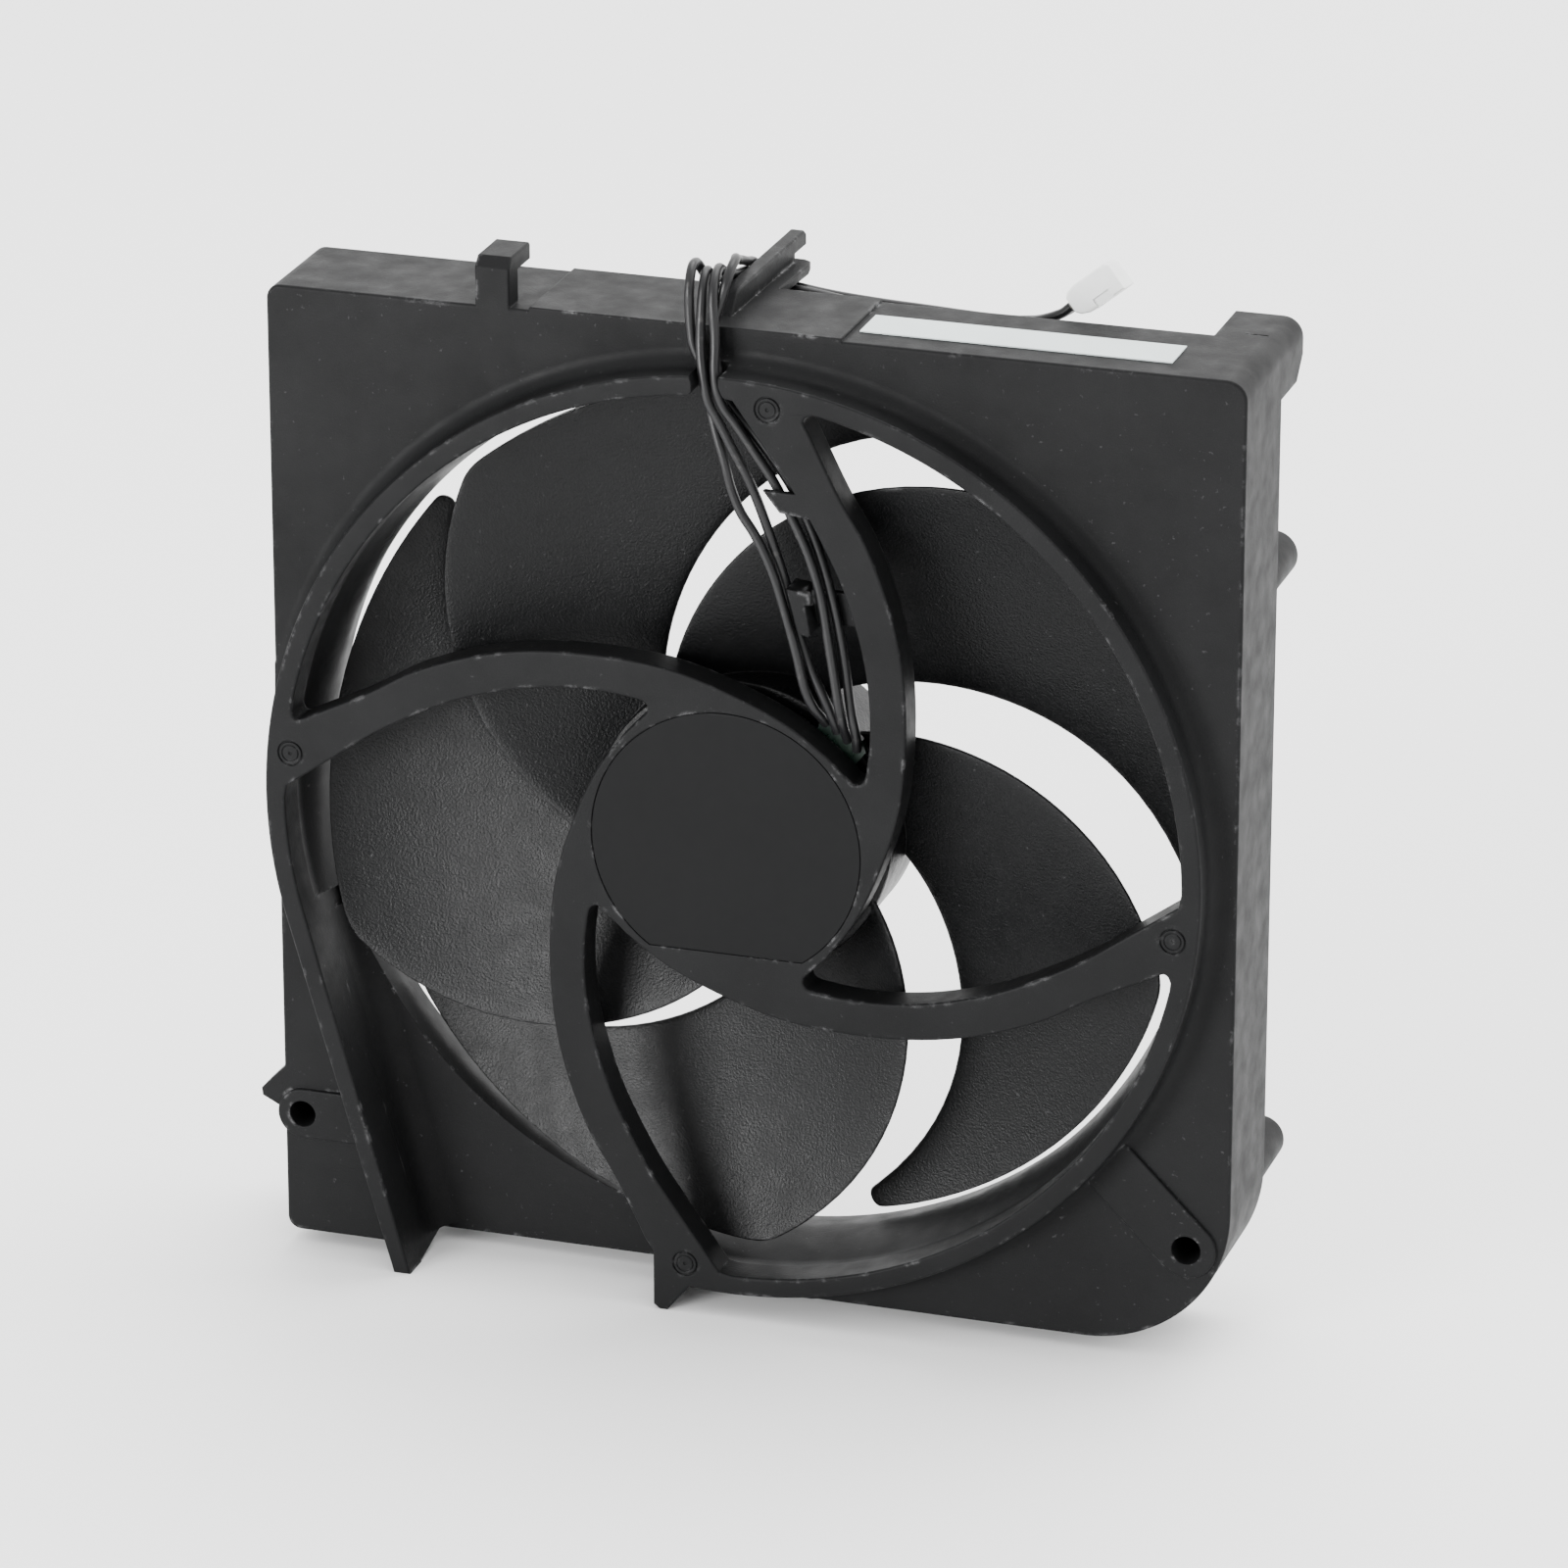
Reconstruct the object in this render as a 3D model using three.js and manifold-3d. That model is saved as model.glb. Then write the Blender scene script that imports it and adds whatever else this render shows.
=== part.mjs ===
// Case fan of the 120 mm class: a square frame with a round duct, four curved struts that carry
// the hub, a five-bladed impeller on a brushless outrunner motor, four leads and their plug.
//
// Axes: X runs right, Z up and Y back. The origin is the centre of the hub label's front face,
// on the axis the impeller turns about. All lengths are in millimetres.

import * as THREE from 'three';
import { mergeVertices } from 'three/addons/utils/BufferGeometryUtils.js';
import Module from 'manifold-3d';

const wasm = await Module();
wasm.setup();

// ---------------------------------------------------------------- driving dimensions

// Frame: the ring and struts start at Y = 0, the plate stands behind them.
const RING = { outer: 59.8, inner: 57.3, fillet: 2.2 };
const PLATE = { left: -60.15, right: 62.9, bottom: -61.28, top: 64.13, front: 5, back: 21.3, wall: 2 };
const CORNER = { topLeft: 1.8, topRight: 2.5, bottomLeft: 1.7, bottomRight: 18.5 };
const DUCT = { mouth: 57.5, throat: 56, tail: 56.7, throatY: 13.9, back: 18.8, wall: 2 };
const RAISED = 0.4;
const STRUT_BACK = 4.3;
const SEAT_BACK = 31.3;

// Outlet at the lower left, where the ring and plate are cut away down to a sunken floor.
const OUTLET = { tangentDeg: 195.6, right: -9.6, floorY: 11.5, floorWall: 2, finWall: 2.2, finTip: -63.1 };

// Hub and the recess for its label, a disc with a flat lower edge.
const LABEL = { radius: 17.25, flat: -14.2, recess: 0.25, sheet: 0.2, gap: 0.12 };
const HUB_POCKET = { radius: 15.5, floorY: 2.2, bossOuter: 7, bossInner: 5.05 };

// Impeller.
const IMPELLER = { hubOuter: 19, hubInner: 17.05, rimY: 6.5, capY: 18.3, backY: 20.2, tip: 55.2 };
const BLADE = { count: 5, thickness: 1.5, edge: 0.55 };
// Rounded corners at the blade's tip: radius, and the angle between the edge and the tip arc.
const FRONT_CORNER = { radius: 8, wedgeDeg: 153 };
const BACK_CORNER = { radius: 1.35, wedgeDeg: 23.8 };

// Motor, from the axis outwards.
const SHAFT = { radius: 1.5, front: 3.4, back: 18.1, grooveRadius: 1.1, grooveY: 4.2, grooveEnd: 4.8 };
const BEARING = { bore: 1.55, outer: 4, length: 4, frontY: 5, rearY: 12.4 };
const TUBE = { inner: 4.05, outer: 5, front: 2.5, back: 16.6 };
const STATOR = { bore: 5.1, core: 7, arm: 1.7, shoeInner: 11.8, shoeOuter: 13.6, shoeDeg: 36 };
const STATOR_Y = { front: 9.2, back: 13.8 };
const MAGNET = { inner: 14.2, outer: 15.9, front: 8, back: 15.5 };
const YOKE = { inner: 16, outer: 16.9, front: 7.4, capY: 17.2, back: 18.2 };
const BOARD = { radius: 16.3, hole: 5.3, front: 4.6, back: 5.6 };

// Leads and plug.
const LEAD_DIAMETER = 1.2;
const PLUG = { length: 6.6, width: 7.5, height: 3.9, pitch: 1.5, cavity: 1.1, cavityDepth: 5.6 };
const PLUG_ENTRY = [35.5, 27.6, 64.15];
const PLUG_TURN = { aroundZ: 16.4, aroundY: -37.3, aroundX: -16.4 };

// Facets of the large rounds, of the rotor's nested rings and of the small parts inside it.
const FINE = 68;
const COAXIAL = 40;
const SMALL = 20;

// ---------------------------------------------------------------- materials

function plain(name, color, roughness, metalness = 0) {
  return new THREE.MeshStandardMaterial({ name, color, roughness, metalness });
}

const blackPlastic = plain('frame_plastic', 0x35363a, 0.55);
const bladePlastic = plain('impeller_plastic', 0x222326, 0.5);
const labelVinyl = plain('hub_label', 0x2c2d30, 0.4);
const labelPaper = plain('side_label', 0xd7dedd, 0.5);
const nylon = plain('nylon', 0xe4e6e4, 0.4);
const leadSleeve = plain('lead_sleeve', 0x1b1b1d, 0.45);
const steel = plain('steel', 0xb9bcc0, 0.25, 1);
const lamination = plain('lamination', 0x6f7378, 0.45, 1);
const brass = plain('brass', 0xb08d45, 0.3, 1);
const copper = plain('copper_wire', 0xb4622d, 0.35, 0.9);
const magnetRubber = plain('magnet', 0x2a2725, 0.8);
const board = plain('board', 0x1f5a3a, 0.5);
const chipPlastic = plain('chip', 0x151517, 0.5);
const insulatorPlastic = plain('insulator', 0xdad6c8, 0.5);

// ---------------------------------------------------------------- solid helpers

function triangleVolume(p, a, b, c) {
  const va = new THREE.Vector3().fromArray(p, a * 3);
  const vb = new THREE.Vector3().fromArray(p, b * 3);
  const vc = new THREE.Vector3().fromArray(p, c * 3);
  return va.dot(vb.cross(vc)) / 6;
}

// Turns a closed three.js geometry into a Manifold solid, facing outward.
function solidOf(geometry) {
  const bare = new THREE.BufferGeometry();
  bare.setAttribute('position', geometry.getAttribute('position').clone());
  if (geometry.index) {
    bare.setIndex(geometry.index.clone());
  }
  const merged = mergeVertices(bare, 1e-4);
  const p = merged.getAttribute('position').array;
  const index = merged.index.array;
  const triangles = [];
  let volume = 0;
  for (let i = 0; i < index.length; i += 3) {
    const [a, b, c] = [index[i], index[i + 1], index[i + 2]];
    if (a !== b && b !== c && a !== c) {
      triangles.push([a, b, c]);
      volume += triangleVolume(p, a, b, c);
    }
  }
  const outward = volume > 0 ? triangles : triangles.map(([a, b, c]) => [a, c, b]);
  return new wasm.Manifold(new wasm.Mesh({
    numProp: 3,
    vertProperties: Float32Array.from(p),
    triVerts: Uint32Array.from(outward.flat()),
  }));
}

function geometryOf(solid) {
  const mesh = solid.getMesh();
  const geometry = new THREE.BufferGeometry();
  geometry.setAttribute('position', new THREE.BufferAttribute(Float32Array.from(mesh.vertProperties), 3));
  geometry.setIndex(Array.from(mesh.triVerts));
  geometry.computeVertexNormals();
  return geometry;
}

function union(...solids) {
  return solids.reduce((whole, piece) => whole.add(piece));
}

function extruded(points, depth) {
  const shape = new THREE.Shape(points.map(([u, v]) => new THREE.Vector2(u, v)));
  return new THREE.ExtrudeGeometry(shape, { depth, bevelEnabled: false, curveSegments: 1 });
}

// A slab with its outline in (X, Z), from y0 back to y1.
function slabY(points, y0, y1) {
  return solidOf(extruded(points, y1 - y0).rotateX(Math.PI / 2).translate(0, y1, 0));
}

// A slab with its outline in (Y, Z), from x0 right to x1.
function slabX(points, x0, x1) {
  const turn = new THREE.Matrix4().set(0, 0, 1, x0, 1, 0, 0, 0, 0, 1, 0, 0, 0, 0, 0, 1);
  return solidOf(extruded(points, x1 - x0).applyMatrix4(turn));
}

// A slab with its outline in (X, Y), from z0 up to z1.
function slabZ(points, z0, z1) {
  return solidOf(extruded(points, z1 - z0).translate(0, 0, z0));
}

function box(x0, x1, y0, y1, z0, z1) {
  return slabZ([[x0, y0], [x1, y0], [x1, y1], [x0, y1]], z0, z1);
}

// A body of revolution about a line along Y through (x, z), from a closed (radius, Y) outline.
function turned(outline, segments, x = 0, z = 0) {
  const points = [...outline, outline[0]].map(([r, y]) => new THREE.Vector2(r, y));
  return solidOf(new THREE.LatheGeometry(points, segments).translate(x, 0, z));
}

function disc(radius, y0, y1, segments, x = 0, z = 0) {
  return turned([[0, y0], [radius, y0], [radius, y1], [0, y1]], segments, x, z);
}

function washer(inner, outer, y0, y1, segments) {
  return turned([[inner, y0], [outer, y0], [outer, y1], [inner, y1]], segments);
}

// Points on an arc about (cx, cz), both ends included. Angles in degrees from +X towards +Z.
function arc(cx, cz, radius, fromDeg, toDeg, steps) {
  const points = [];
  for (let i = 0; i <= steps; i += 1) {
    const angle = THREE.MathUtils.degToRad(fromDeg + ((toDeg - fromDeg) * i) / steps);
    points.push([cx + radius * Math.cos(angle), cz + radius * Math.sin(angle)]);
  }
  return points;
}

function quarterTurn(points, times) {
  let turnedPoints = points;
  for (let i = 0; i < times; i += 1) {
    turnedPoints = turnedPoints.map(([x, z]) => [-z, x]);
  }
  return turnedPoints;
}

function smooth(points, steps) {
  const curve = new THREE.SplineCurve(points.map(([x, z]) => new THREE.Vector2(x, z)));
  return curve.getPoints(steps).map((p) => [p.x, p.y]);
}

// ---------------------------------------------------------------- housing

function plateOutline(inset) {
  const [l, r] = [PLATE.left + inset, PLATE.right - inset];
  const [b, t] = [PLATE.bottom + inset, PLATE.top - inset];
  const radius = (value) => Math.max(value - inset, 0.3);
  const [tl, tr] = [radius(CORNER.topLeft), radius(CORNER.topRight)];
  const [bl, br] = [radius(CORNER.bottomLeft), radius(CORNER.bottomRight)];
  return [
    ...arc(r - tr, t - tr, tr, 0, 90, 4),
    ...arc(l + tl, t - tl, tl, 90, 180, 4),
    ...arc(l + bl, b + bl, bl, 180, 270, 4),
    ...arc(r - br, b + br, br, 270, 360, 12),
  ];
}

// The opening between strut A (upper right) and strut D (right), cut through ring centre and struts.
// Its inner side follows the outer edge of strut A, its lower side the inner edge of strut D.
function windowOutline(outer) {
  const innerEdge = quarterTurn([
    [1, 57], [6, 50], [9.5, 45], [12.3, 40], [14.7, 35], [16.4, 30],
    [17.6, 25], [18.2, 20], [18.2, 15], [17.8, 11.5],
  ], 3);
  const notch = quarterTurn([[17.3, 10.3], [16.3, 10], [15.2, 11.1]], 3);
  const outerEdge = [
    [13, -13], [16.5, -8], [20, 0], [22.2, 8], [22.8, 20], [21.5, 30], [18, 40], [14.5, 46],
  ];
  return [
    ...smooth(outerEdge, 11),
    ...outer,
    ...smooth(innerEdge, 10),
    ...notch,
  ];
}

function ringWindow() {
  return windowOutline([[10.3, 54.4], [9.8, 55.1], [10.2, 55.9], ...arc(0, 0, RING.inner, 78, 0.5, 14)]);
}

// The window at the lower left runs on into the outlet, so the fin and the outlet's right wall bound it.
function finInner(z) {
  const [x0, z0] = finStart();
  return x0 + Math.tan(THREE.MathUtils.degToRad(OUTLET.tangentDeg - 180)) * (z0 - z);
}

function finStart() {
  return arc(0, 0, RING.inner, OUTLET.tangentDeg, OUTLET.tangentDeg, 1)[0];
}

function struts() {
  let spider = disc(RING.inner + 0.6, 0, STRUT_BACK, FINE);
  for (const turns of [0, 1, 2, 3]) {
    spider = spider.subtract(slabY(quarterTurn(ringWindow(), turns), -1, STRUT_BACK + 1));
  }
  return spider.subtract(slabY(outletSector(), -1, STRUT_BACK + 1));
}

// Everything of the ring, plate and duct that the outlet takes away in front of its floor.
function outletSector() {
  const rim = arc(0, 0, 54, OUTLET.tangentDeg + 1.5, 257.5, 12);
  return [
    finStart(), [finInner(-72), -72], [OUTLET.right, -72], [OUTLET.right, -55.4], [-10.3, -54.4],
    ...rim.reverse(),
  ];
}

function ring() {
  const { outer, inner, fillet } = RING;
  const foot = arc(outer + fillet, PLATE.front - fillet, fillet, 180, 90, 3);
  const end = PLATE.front + 1;
  const profile = [[inner, 0], [outer, 0], ...foot, [outer + fillet, end], [inner, end]];
  return turned(profile, FINE).intersect(slabY(plateOutline(0), -1, PLATE.back));
}

function boreSolid() {
  const { mouth, throat, tail, throatY, back } = DUCT;
  const profile = [[0, PLATE.front - 0.6], [RING.inner, PLATE.front - 0.6], [mouth, PLATE.front + 0.4]];
  for (let i = 1; i <= 3; i += 1) {
    const share = i / 3;
    const y = PLATE.front + 0.4 + (throatY - PLATE.front - 0.4) * share;
    profile.push([mouth + (throat - mouth) * (2 * share - share * share), y]);
  }
  profile.push([tail, back], [tail, back + 6], [0, back + 6]);
  return turned(profile, FINE);
}

function ductSolid() {
  const outer = DUCT.throat + DUCT.wall;
  return disc(outer + 0.2, PLATE.front + 0.5, DUCT.back, FINE);
}

function shell() {
  const outside = slabY(plateOutline(0), PLATE.front, PLATE.back);
  const hollow = slabY(plateOutline(PLATE.wall), PLATE.front + PLATE.wall, PLATE.back + 1);
  return outside.subtract(hollow).add(ductSolid().intersect(outside));
}

function fin() {
  const { finTip, finWall, floorY, floorWall, tangentDeg } = OUTLET;
  const outerStart = arc(0, 0, RING.outer, tangentDeg, tangentDeg, 1)[0];
  const outline = [
    finStart(), outerStart, [finInner(finTip) - finWall, finTip], [finInner(finTip), finTip],
  ];
  const tipBevel = slabX([[-1, finTip - 0.1], [floorY + 3, -61.4], [floorY + 3, -70], [-1, -70]], -50, -36);
  return slabY(outline, 0, floorY + floorWall).subtract(tipBevel);
}

// Concave fillet along the foot of the fin, where it meets the outlet's floor.
function finFillet() {
  const { floorY, tangentDeg } = OUTLET;
  const radius = 3.2;
  const [x0, z0] = finStart();
  const end = [finInner(PLATE.bottom), PLATE.bottom];
  const length = Math.hypot(end[0] - x0, end[1] - z0);
  const hollow = arc(radius, floorY - radius, radius, 180, 90, 4);
  const outline = [[-1, floorY - radius], ...hollow, [radius, floorY + 1], [-1, floorY + 1]];
  const profile = extruded(outline, length - 3);
  const lean = THREE.MathUtils.degToRad(tangentDeg - 180);
  const along = new THREE.Vector3(Math.sin(lean), 0, -Math.cos(lean));
  const across = new THREE.Vector3(Math.cos(lean), 0, Math.sin(lean));
  const frame = new THREE.Matrix4().makeBasis(across, new THREE.Vector3(0, 1, 0), along);
  const start = new THREE.Vector3(x0, 0, z0).addScaledVector(along, 3);
  return solidOf(profile.applyMatrix4(frame.setPosition(start)));
}

function outletFloor() {
  const { floorY, floorWall, right } = OUTLET;
  const outline = [
    [-50, -28], [finInner(PLATE.bottom) - 1, PLATE.bottom], [right + 2.5, PLATE.bottom], [right + 2.5, -50],
  ];
  const wall = [[right, -55], [right, PLATE.bottom], [right + 2, PLATE.bottom], [right + 2, -55]];
  return slabY(outline, floorY, floorY + floorWall).add(slabY(wall, PLATE.front, floorY + 1));
}

function bottomTab() {
  const { right } = OUTLET;
  const outline = [[right, -56], [right, -62.5], [-8.8, -63.1], [-7.8, -63.1], [-5, -59.7], [-4.5, -57.6]];
  return slabY(outline, 0, 8);
}

// Raised pads around the two screw holes in the front plate, and the bosses behind them.
const FRONT_HOLES = {
  left: { x: -57.6, z: -45, hole: 1.75, pad: 3.3, face: 4.4 },
  right: { x: 57.6, z: -47.7, hole: 1.85, pad: 3.7, face: 4.4 },
};

function leftPad() {
  const { x, z, pad, face } = FRONT_HOLES.left;
  const outline = [...arc(x, z, pad, 90, 270, 8), [-46.5, z - pad], [-48.4, z + pad]];
  return slabY(outline, face, PLATE.front + 1.5).add(disc(pad, PLATE.front + 1, 13, 16, x, z));
}

function rightPad() {
  const { x, z, pad, face } = FRONT_HOLES.right;
  const reach = 19;
  const corner = (angle, along) => {
    const [cx, cz] = arc(x, z, pad, angle, angle, 1)[0];
    return [cx - along * Math.SQRT1_2, cz + along * Math.SQRT1_2];
  };
  const outline = [...arc(x, z, pad, 225, 405, 8), corner(45, reach), corner(225, reach)];
  const bore = disc(RING.outer, 0, 9, FINE);
  return slabY(outline, face, PLATE.front + 1).subtract(bore).add(disc(pad, PLATE.front + 1, 13, 16, x, z));
}

function frontHoles() {
  return Object.values(FRONT_HOLES).map(({ x, z, hole }) => disc(hole, 3, 11, 16, x, z));
}

// Seats at the back: four round standoffs and the corner post at the top right.
const STANDOFFS = [[59.85, 33.8], [59.85, -43.4], [-57.1, 33.8], [-57.1, -43.4]];
const STANDOFF = { radius: 3, hole: 1.3, holeDepth: 8 };

function standoffs() {
  return STANDOFFS.map(([x, z]) => disc(STANDOFF.radius, PLATE.front + 1, SEAT_BACK, 16, x, z));
}

function standoffHoles() {
  const start = SEAT_BACK - STANDOFF.holeDepth;
  return STANDOFFS.map(([x, z]) => disc(STANDOFF.hole, start, SEAT_BACK + 1, 8, x, z));
}

function cornerPost() {
  const [r, t] = [PLATE.right, PLATE.top];
  const round = arc(r - 2.5, t - 2.5, 2.5, 0, 90, 4);
  const outline = [[54.5, 56.9], [r, 56.9], ...round, [54.5, t]];
  const chamfer = slabX([[27.4, 56], [32, 60.6], [32, 56]], 50, 66);
  const slit = box(57.9, 60.7, 22.7, 22.95, t - 0.6, t + 1);
  return slabY(outline, PLATE.front + 1, SEAT_BACK).subtract(chamfer).subtract(slit);
}

// Raised middle of the top wall, hook tab on its left, and the clip rib for the leads.
function topDetails() {
  const t = PLATE.top;
  const raised = box(-26.3, 13.05, PLATE.front, PLATE.back, t - 1, t + RAISED);
  const stem = box(-33.2, -28.8, PLATE.front, 8.4, t - 1, 69);
  const cap = slabX([[5, 68], [12.8, 68], [12.8, 69.9], [12.5, 70.2], [6.2, 70.2], [5, 69]], -33.2, -28.8);
  return union(raised, stem, cap);
}

const CLIP = {
  leanDeg: -1.4, right: -2.02, thickness: 1.9, front: 9.07, back: 36.5, top: 67.4, under: 65.35, root: 32.3,
};
const TONGUE = { left: -3.9, right: 0.1, rightBack: 0.64, bottom: 63.3, back: 33.4 };

// Fore-and-aft rib that the leads run behind, and the tongue under its back end.
function leadClip() {
  const t = PLATE.top;
  const { front, back, top, under, root } = CLIP;
  const arm = [
    [front, t - 0.3], [front, t + RAISED], [front + 1.9, 66.7], [front + 2.7, 67.1], [front + 4, 67.2],
    [back - 0.8, top], [back, top - 0.6], [back, under], [root, under], [root, t - 0.3],
  ];
  const shape = extruded(arm, CLIP.thickness);
  shape.applyMatrix4(new THREE.Matrix4().set(0, 0, 1, 0, 1, 0, 0, -front, 0, 1, 0, 0, 0, 0, 0, 1));
  shape.rotateZ(THREE.MathUtils.degToRad(CLIP.leanDeg)).translate(CLIP.right - CLIP.thickness, front, 0);
  const { left, right, rightBack, bottom } = TONGUE;
  const outline = [
    [left, 19], [right, 19], [right, PLATE.back], [rightBack, 31], [0.3, 32.8], [-0.6, TONGUE.back],
    [left + 0.5, TONGUE.back],
  ];
  return solidOf(shape).add(slabZ(outline, bottom, t + RAISED));
}

function sideWedge() {
  const outline = [
    [-59.5, -38.5], [-60.15, -39.1], [-63.3, -42.4], [-63.2, -43.4], [-60.6, -44.7], [-59.5, -44.7],
  ];
  return slabY(outline, 5, 9);
}

// Hooks that hold the leads: one off strut A near the ring, one on an arm behind the leads.
function leadHooks() {
  const upper = slabY([[4.8, 46.2], [6.9, 43.6], [11.6, 43], [11, 46.1]], 0, 1);
  const arm = slabY([[8.9, 28.9], [17.2, 28.9], [15.9, 33], [8.3, 33]], 3.5, 4.5);
  const upright = slabY([[7.6, 33.9], [9.1, 28.4], [10.3, 28], [10.7, 28.3], [9.7, 33.7]], 0.4, 4.5);
  const lip = slabY([[7.6, 33.9], [8.3, 31.9], [10.8, 32.1], [10.4, 33.6]], 0.4, 1.3);
  return union(upper, arm, upright, lip);
}

function labelOutline(inset) {
  const radius = LABEL.radius - inset;
  const flat = LABEL.flat + inset;
  const half = THREE.MathUtils.radToDeg(Math.acos(-flat / radius));
  return arc(0, 0, radius, -90 + half, 270 - half, 36);
}

function withHubBase(solid) {
  const pocket = washer(HUB_POCKET.bossOuter, HUB_POCKET.radius, HUB_POCKET.floorY, STRUT_BACK + 1, COAXIAL);
  const boss = washer(HUB_POCKET.bossInner, HUB_POCKET.bossOuter, STRUT_BACK - 0.5, 4.5, COAXIAL);
  const seat = disc(HUB_POCKET.bossInner, HUB_POCKET.floorY, STRUT_BACK + 1, COAXIAL);
  const labelRecess = slabY(labelOutline(0), -1, LABEL.recess);
  return solid.subtract(pocket).add(boss).subtract(seat).subtract(labelRecess);
}

function leadGap() {
  const outline = [
    [0.1, 56.8], [-0.3, 57.6], [-0.75, 58.6], [-0.75, 62.2], [-4.7, 62.2], [-4.6, 60],
    [-4.15, 58.7], [-4.15, 57.8], [-4.5, 57.2], [-5, 56.8],
  ];
  return slabY(outline, -1, 4.4);
}

function housing() {
  const outletCut = slabY(outletSector(), -1, OUTLET.floorY);
  let body = union(shell(), ring(), leftPad(), rightPad(), ...standoffs(), cornerPost());
  body = body.subtract(outletCut).subtract(boreSolid());
  const aroundBore = union(outletFloor(), finFillet()).subtract(boreSolid());
  body = union(body, aroundBore, fin(), bottomTab());
  body = union(body, struts(), topDetails(), leadClip(), sideWedge(), leadHooks());
  body = withHubBase(body);
  for (const hole of [...frontHoles(), ...standoffHoles(), leadGap()]) {
    body = body.subtract(hole);
  }
  return body;
}

// ---------------------------------------------------------------- impeller

// Angles of a blade's front and back edges at a radius, in degrees, and its back edge's Y.
function bladeEdges(radius) {
  const u = (radius - 35) / 20;
  return {
    frontDeg: 163.2 - 30.7 * u + 1.68 * u ** 2 - 4.5 * u ** 3,
    backDeg: 100.5 - 32.95 * u + 1.96 * u ** 2 - 6.1 * u ** 3,
    backY: 16.1 + 0.103 * (radius - 35),
  };
}

// How far a rounded tip corner draws the edge in, as a share of the blade's length at that radius.
function cornerDraw(radius, corner) {
  const depth = IMPELLER.tip - radius;
  const wedge = THREE.MathUtils.degToRad(corner.wedgeDeg);
  if (depth >= corner.radius * (1 + Math.cos(wedge))) return 0;
  const round = Math.sqrt(corner.radius ** 2 - (depth - corner.radius) ** 2);
  return corner.radius / Math.tan(wedge / 2) - round - depth / Math.tan(wedge);
}

function bladeLoop(radius, steps) {
  const { frontDeg, backDeg, backY } = bladeEdges(radius);
  const chord = THREE.MathUtils.degToRad(frontDeg - backDeg) * radius;
  const start = cornerDraw(radius, FRONT_CORNER) / chord;
  const end = 1 - cornerDraw(radius, BACK_CORNER) / chord;
  const camber = 0.35;
  const front = [];
  const back = [];
  for (let i = 0; i <= steps; i += 1) {
    const share = start + ((end - start) * i) / steps;
    const rise = share * (1 + camber * (1 - share));
    const y = IMPELLER.rimY + (backY - IMPELLER.rimY) * rise;
    const angle = THREE.MathUtils.degToRad(frontDeg + (backDeg - frontDeg) * share);
    const full = Math.sin(Math.PI * (i / steps)) ** 0.6;
    const half = (BLADE.edge + (BLADE.thickness - BLADE.edge) * full) / 2;
    const slope = Math.atan2((backY - IMPELLER.rimY) * (1 + camber - 2 * camber * share), chord);
    const shift = (half * Math.sin(slope)) / radius;
    const place = (side) => new THREE.Vector3(
      radius * Math.cos(angle + side * shift),
      y + side * half * Math.cos(slope),
      radius * Math.sin(angle + side * shift),
    );
    front.push(place(-1));
    back.push(place(1));
  }
  return [...front, ...back.reverse()];
}

// Skins a closed solid over loops with equal point counts, each loop's halves facing each other.
function skinned(loops) {
  const count = loops[0].length;
  const index = [];
  for (let i = 0; i + 1 < loops.length; i += 1) {
    for (let j = 0; j < count; j += 1) {
      const [a, b] = [i * count + j, i * count + ((j + 1) % count)];
      index.push(a, b, b + count, a, b + count, a + count);
    }
  }
  const last = (loops.length - 1) * count;
  for (let j = 0; j + 1 < count / 2; j += 1) {
    const [a, b, c, d] = [j, j + 1, count - 2 - j, count - 1 - j];
    index.push(a, c, b, a, d, c);
    index.push(last + a, last + b, last + c, last + a, last + c, last + d);
  }
  const geometry = new THREE.BufferGeometry().setFromPoints(loops.flat());
  geometry.setIndex(index);
  return solidOf(geometry);
}

function blade() {
  const radii = [18, 25, 33, 41, 48, 52.6, 53.6, 54.4, 54.95, IMPELLER.tip];
  return skinned(radii.map((radius) => bladeLoop(radius, 7)));
}

function impeller() {
  const { hubOuter, hubInner, rimY, capY, backY } = IMPELLER;
  let whole = turned([
    [hubInner, rimY + 0.3], [hubInner + 0.3, rimY], [hubOuter - 0.4, rimY], [hubOuter, rimY + 0.4],
    [hubOuter, backY - 1], [hubOuter - 1, backY], [0, backY], [0, capY], [hubInner, capY],
  ], COAXIAL);
  const clear = disc(hubInner, rimY - 1, capY, COAXIAL);
  const geometry = geometryOf(blade());
  for (let i = 0; i < BLADE.count; i += 1) {
    const turnedBlade = geometry.clone().rotateY((2 * Math.PI * i) / BLADE.count);
    whole = whole.add(solidOf(turnedBlade));
  }
  return whole.subtract(clear);
}

// ---------------------------------------------------------------- motor

function bearingSolid(y) {
  const { bore, outer, length } = BEARING;
  const shieldIn = 2.1;
  const shieldOut = 3.5;
  const end = y + length;
  const dip = 0.2;
  return turned([
    [bore, y], [shieldIn, y], [shieldIn, y + dip], [shieldOut, y + dip], [shieldOut, y], [outer, y],
    [outer, end], [shieldOut, end], [shieldOut, end - dip], [shieldIn, end - dip], [shieldIn, end],
    [bore, end],
  ], SMALL);
}

function shaft() {
  const { radius, front, back, grooveRadius, grooveY, grooveEnd } = SHAFT;
  return turned([
    [0, front], [radius - 0.2, front], [radius, front + 0.2], [radius, grooveY], [grooveRadius, grooveY],
    [grooveRadius, grooveEnd], [radius, grooveEnd], [radius, back - 0.2], [radius - 0.2, back], [0, back],
  ], SMALL);
}

function retainingClip() {
  const mouth = slabY([[0, -0.9], [4, -0.9], [4, 0.9], [0, 0.9]], 4, 5);
  return washer(1.15, 2.8, 4.3, 4.7, SMALL).subtract(mouth);
}

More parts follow.
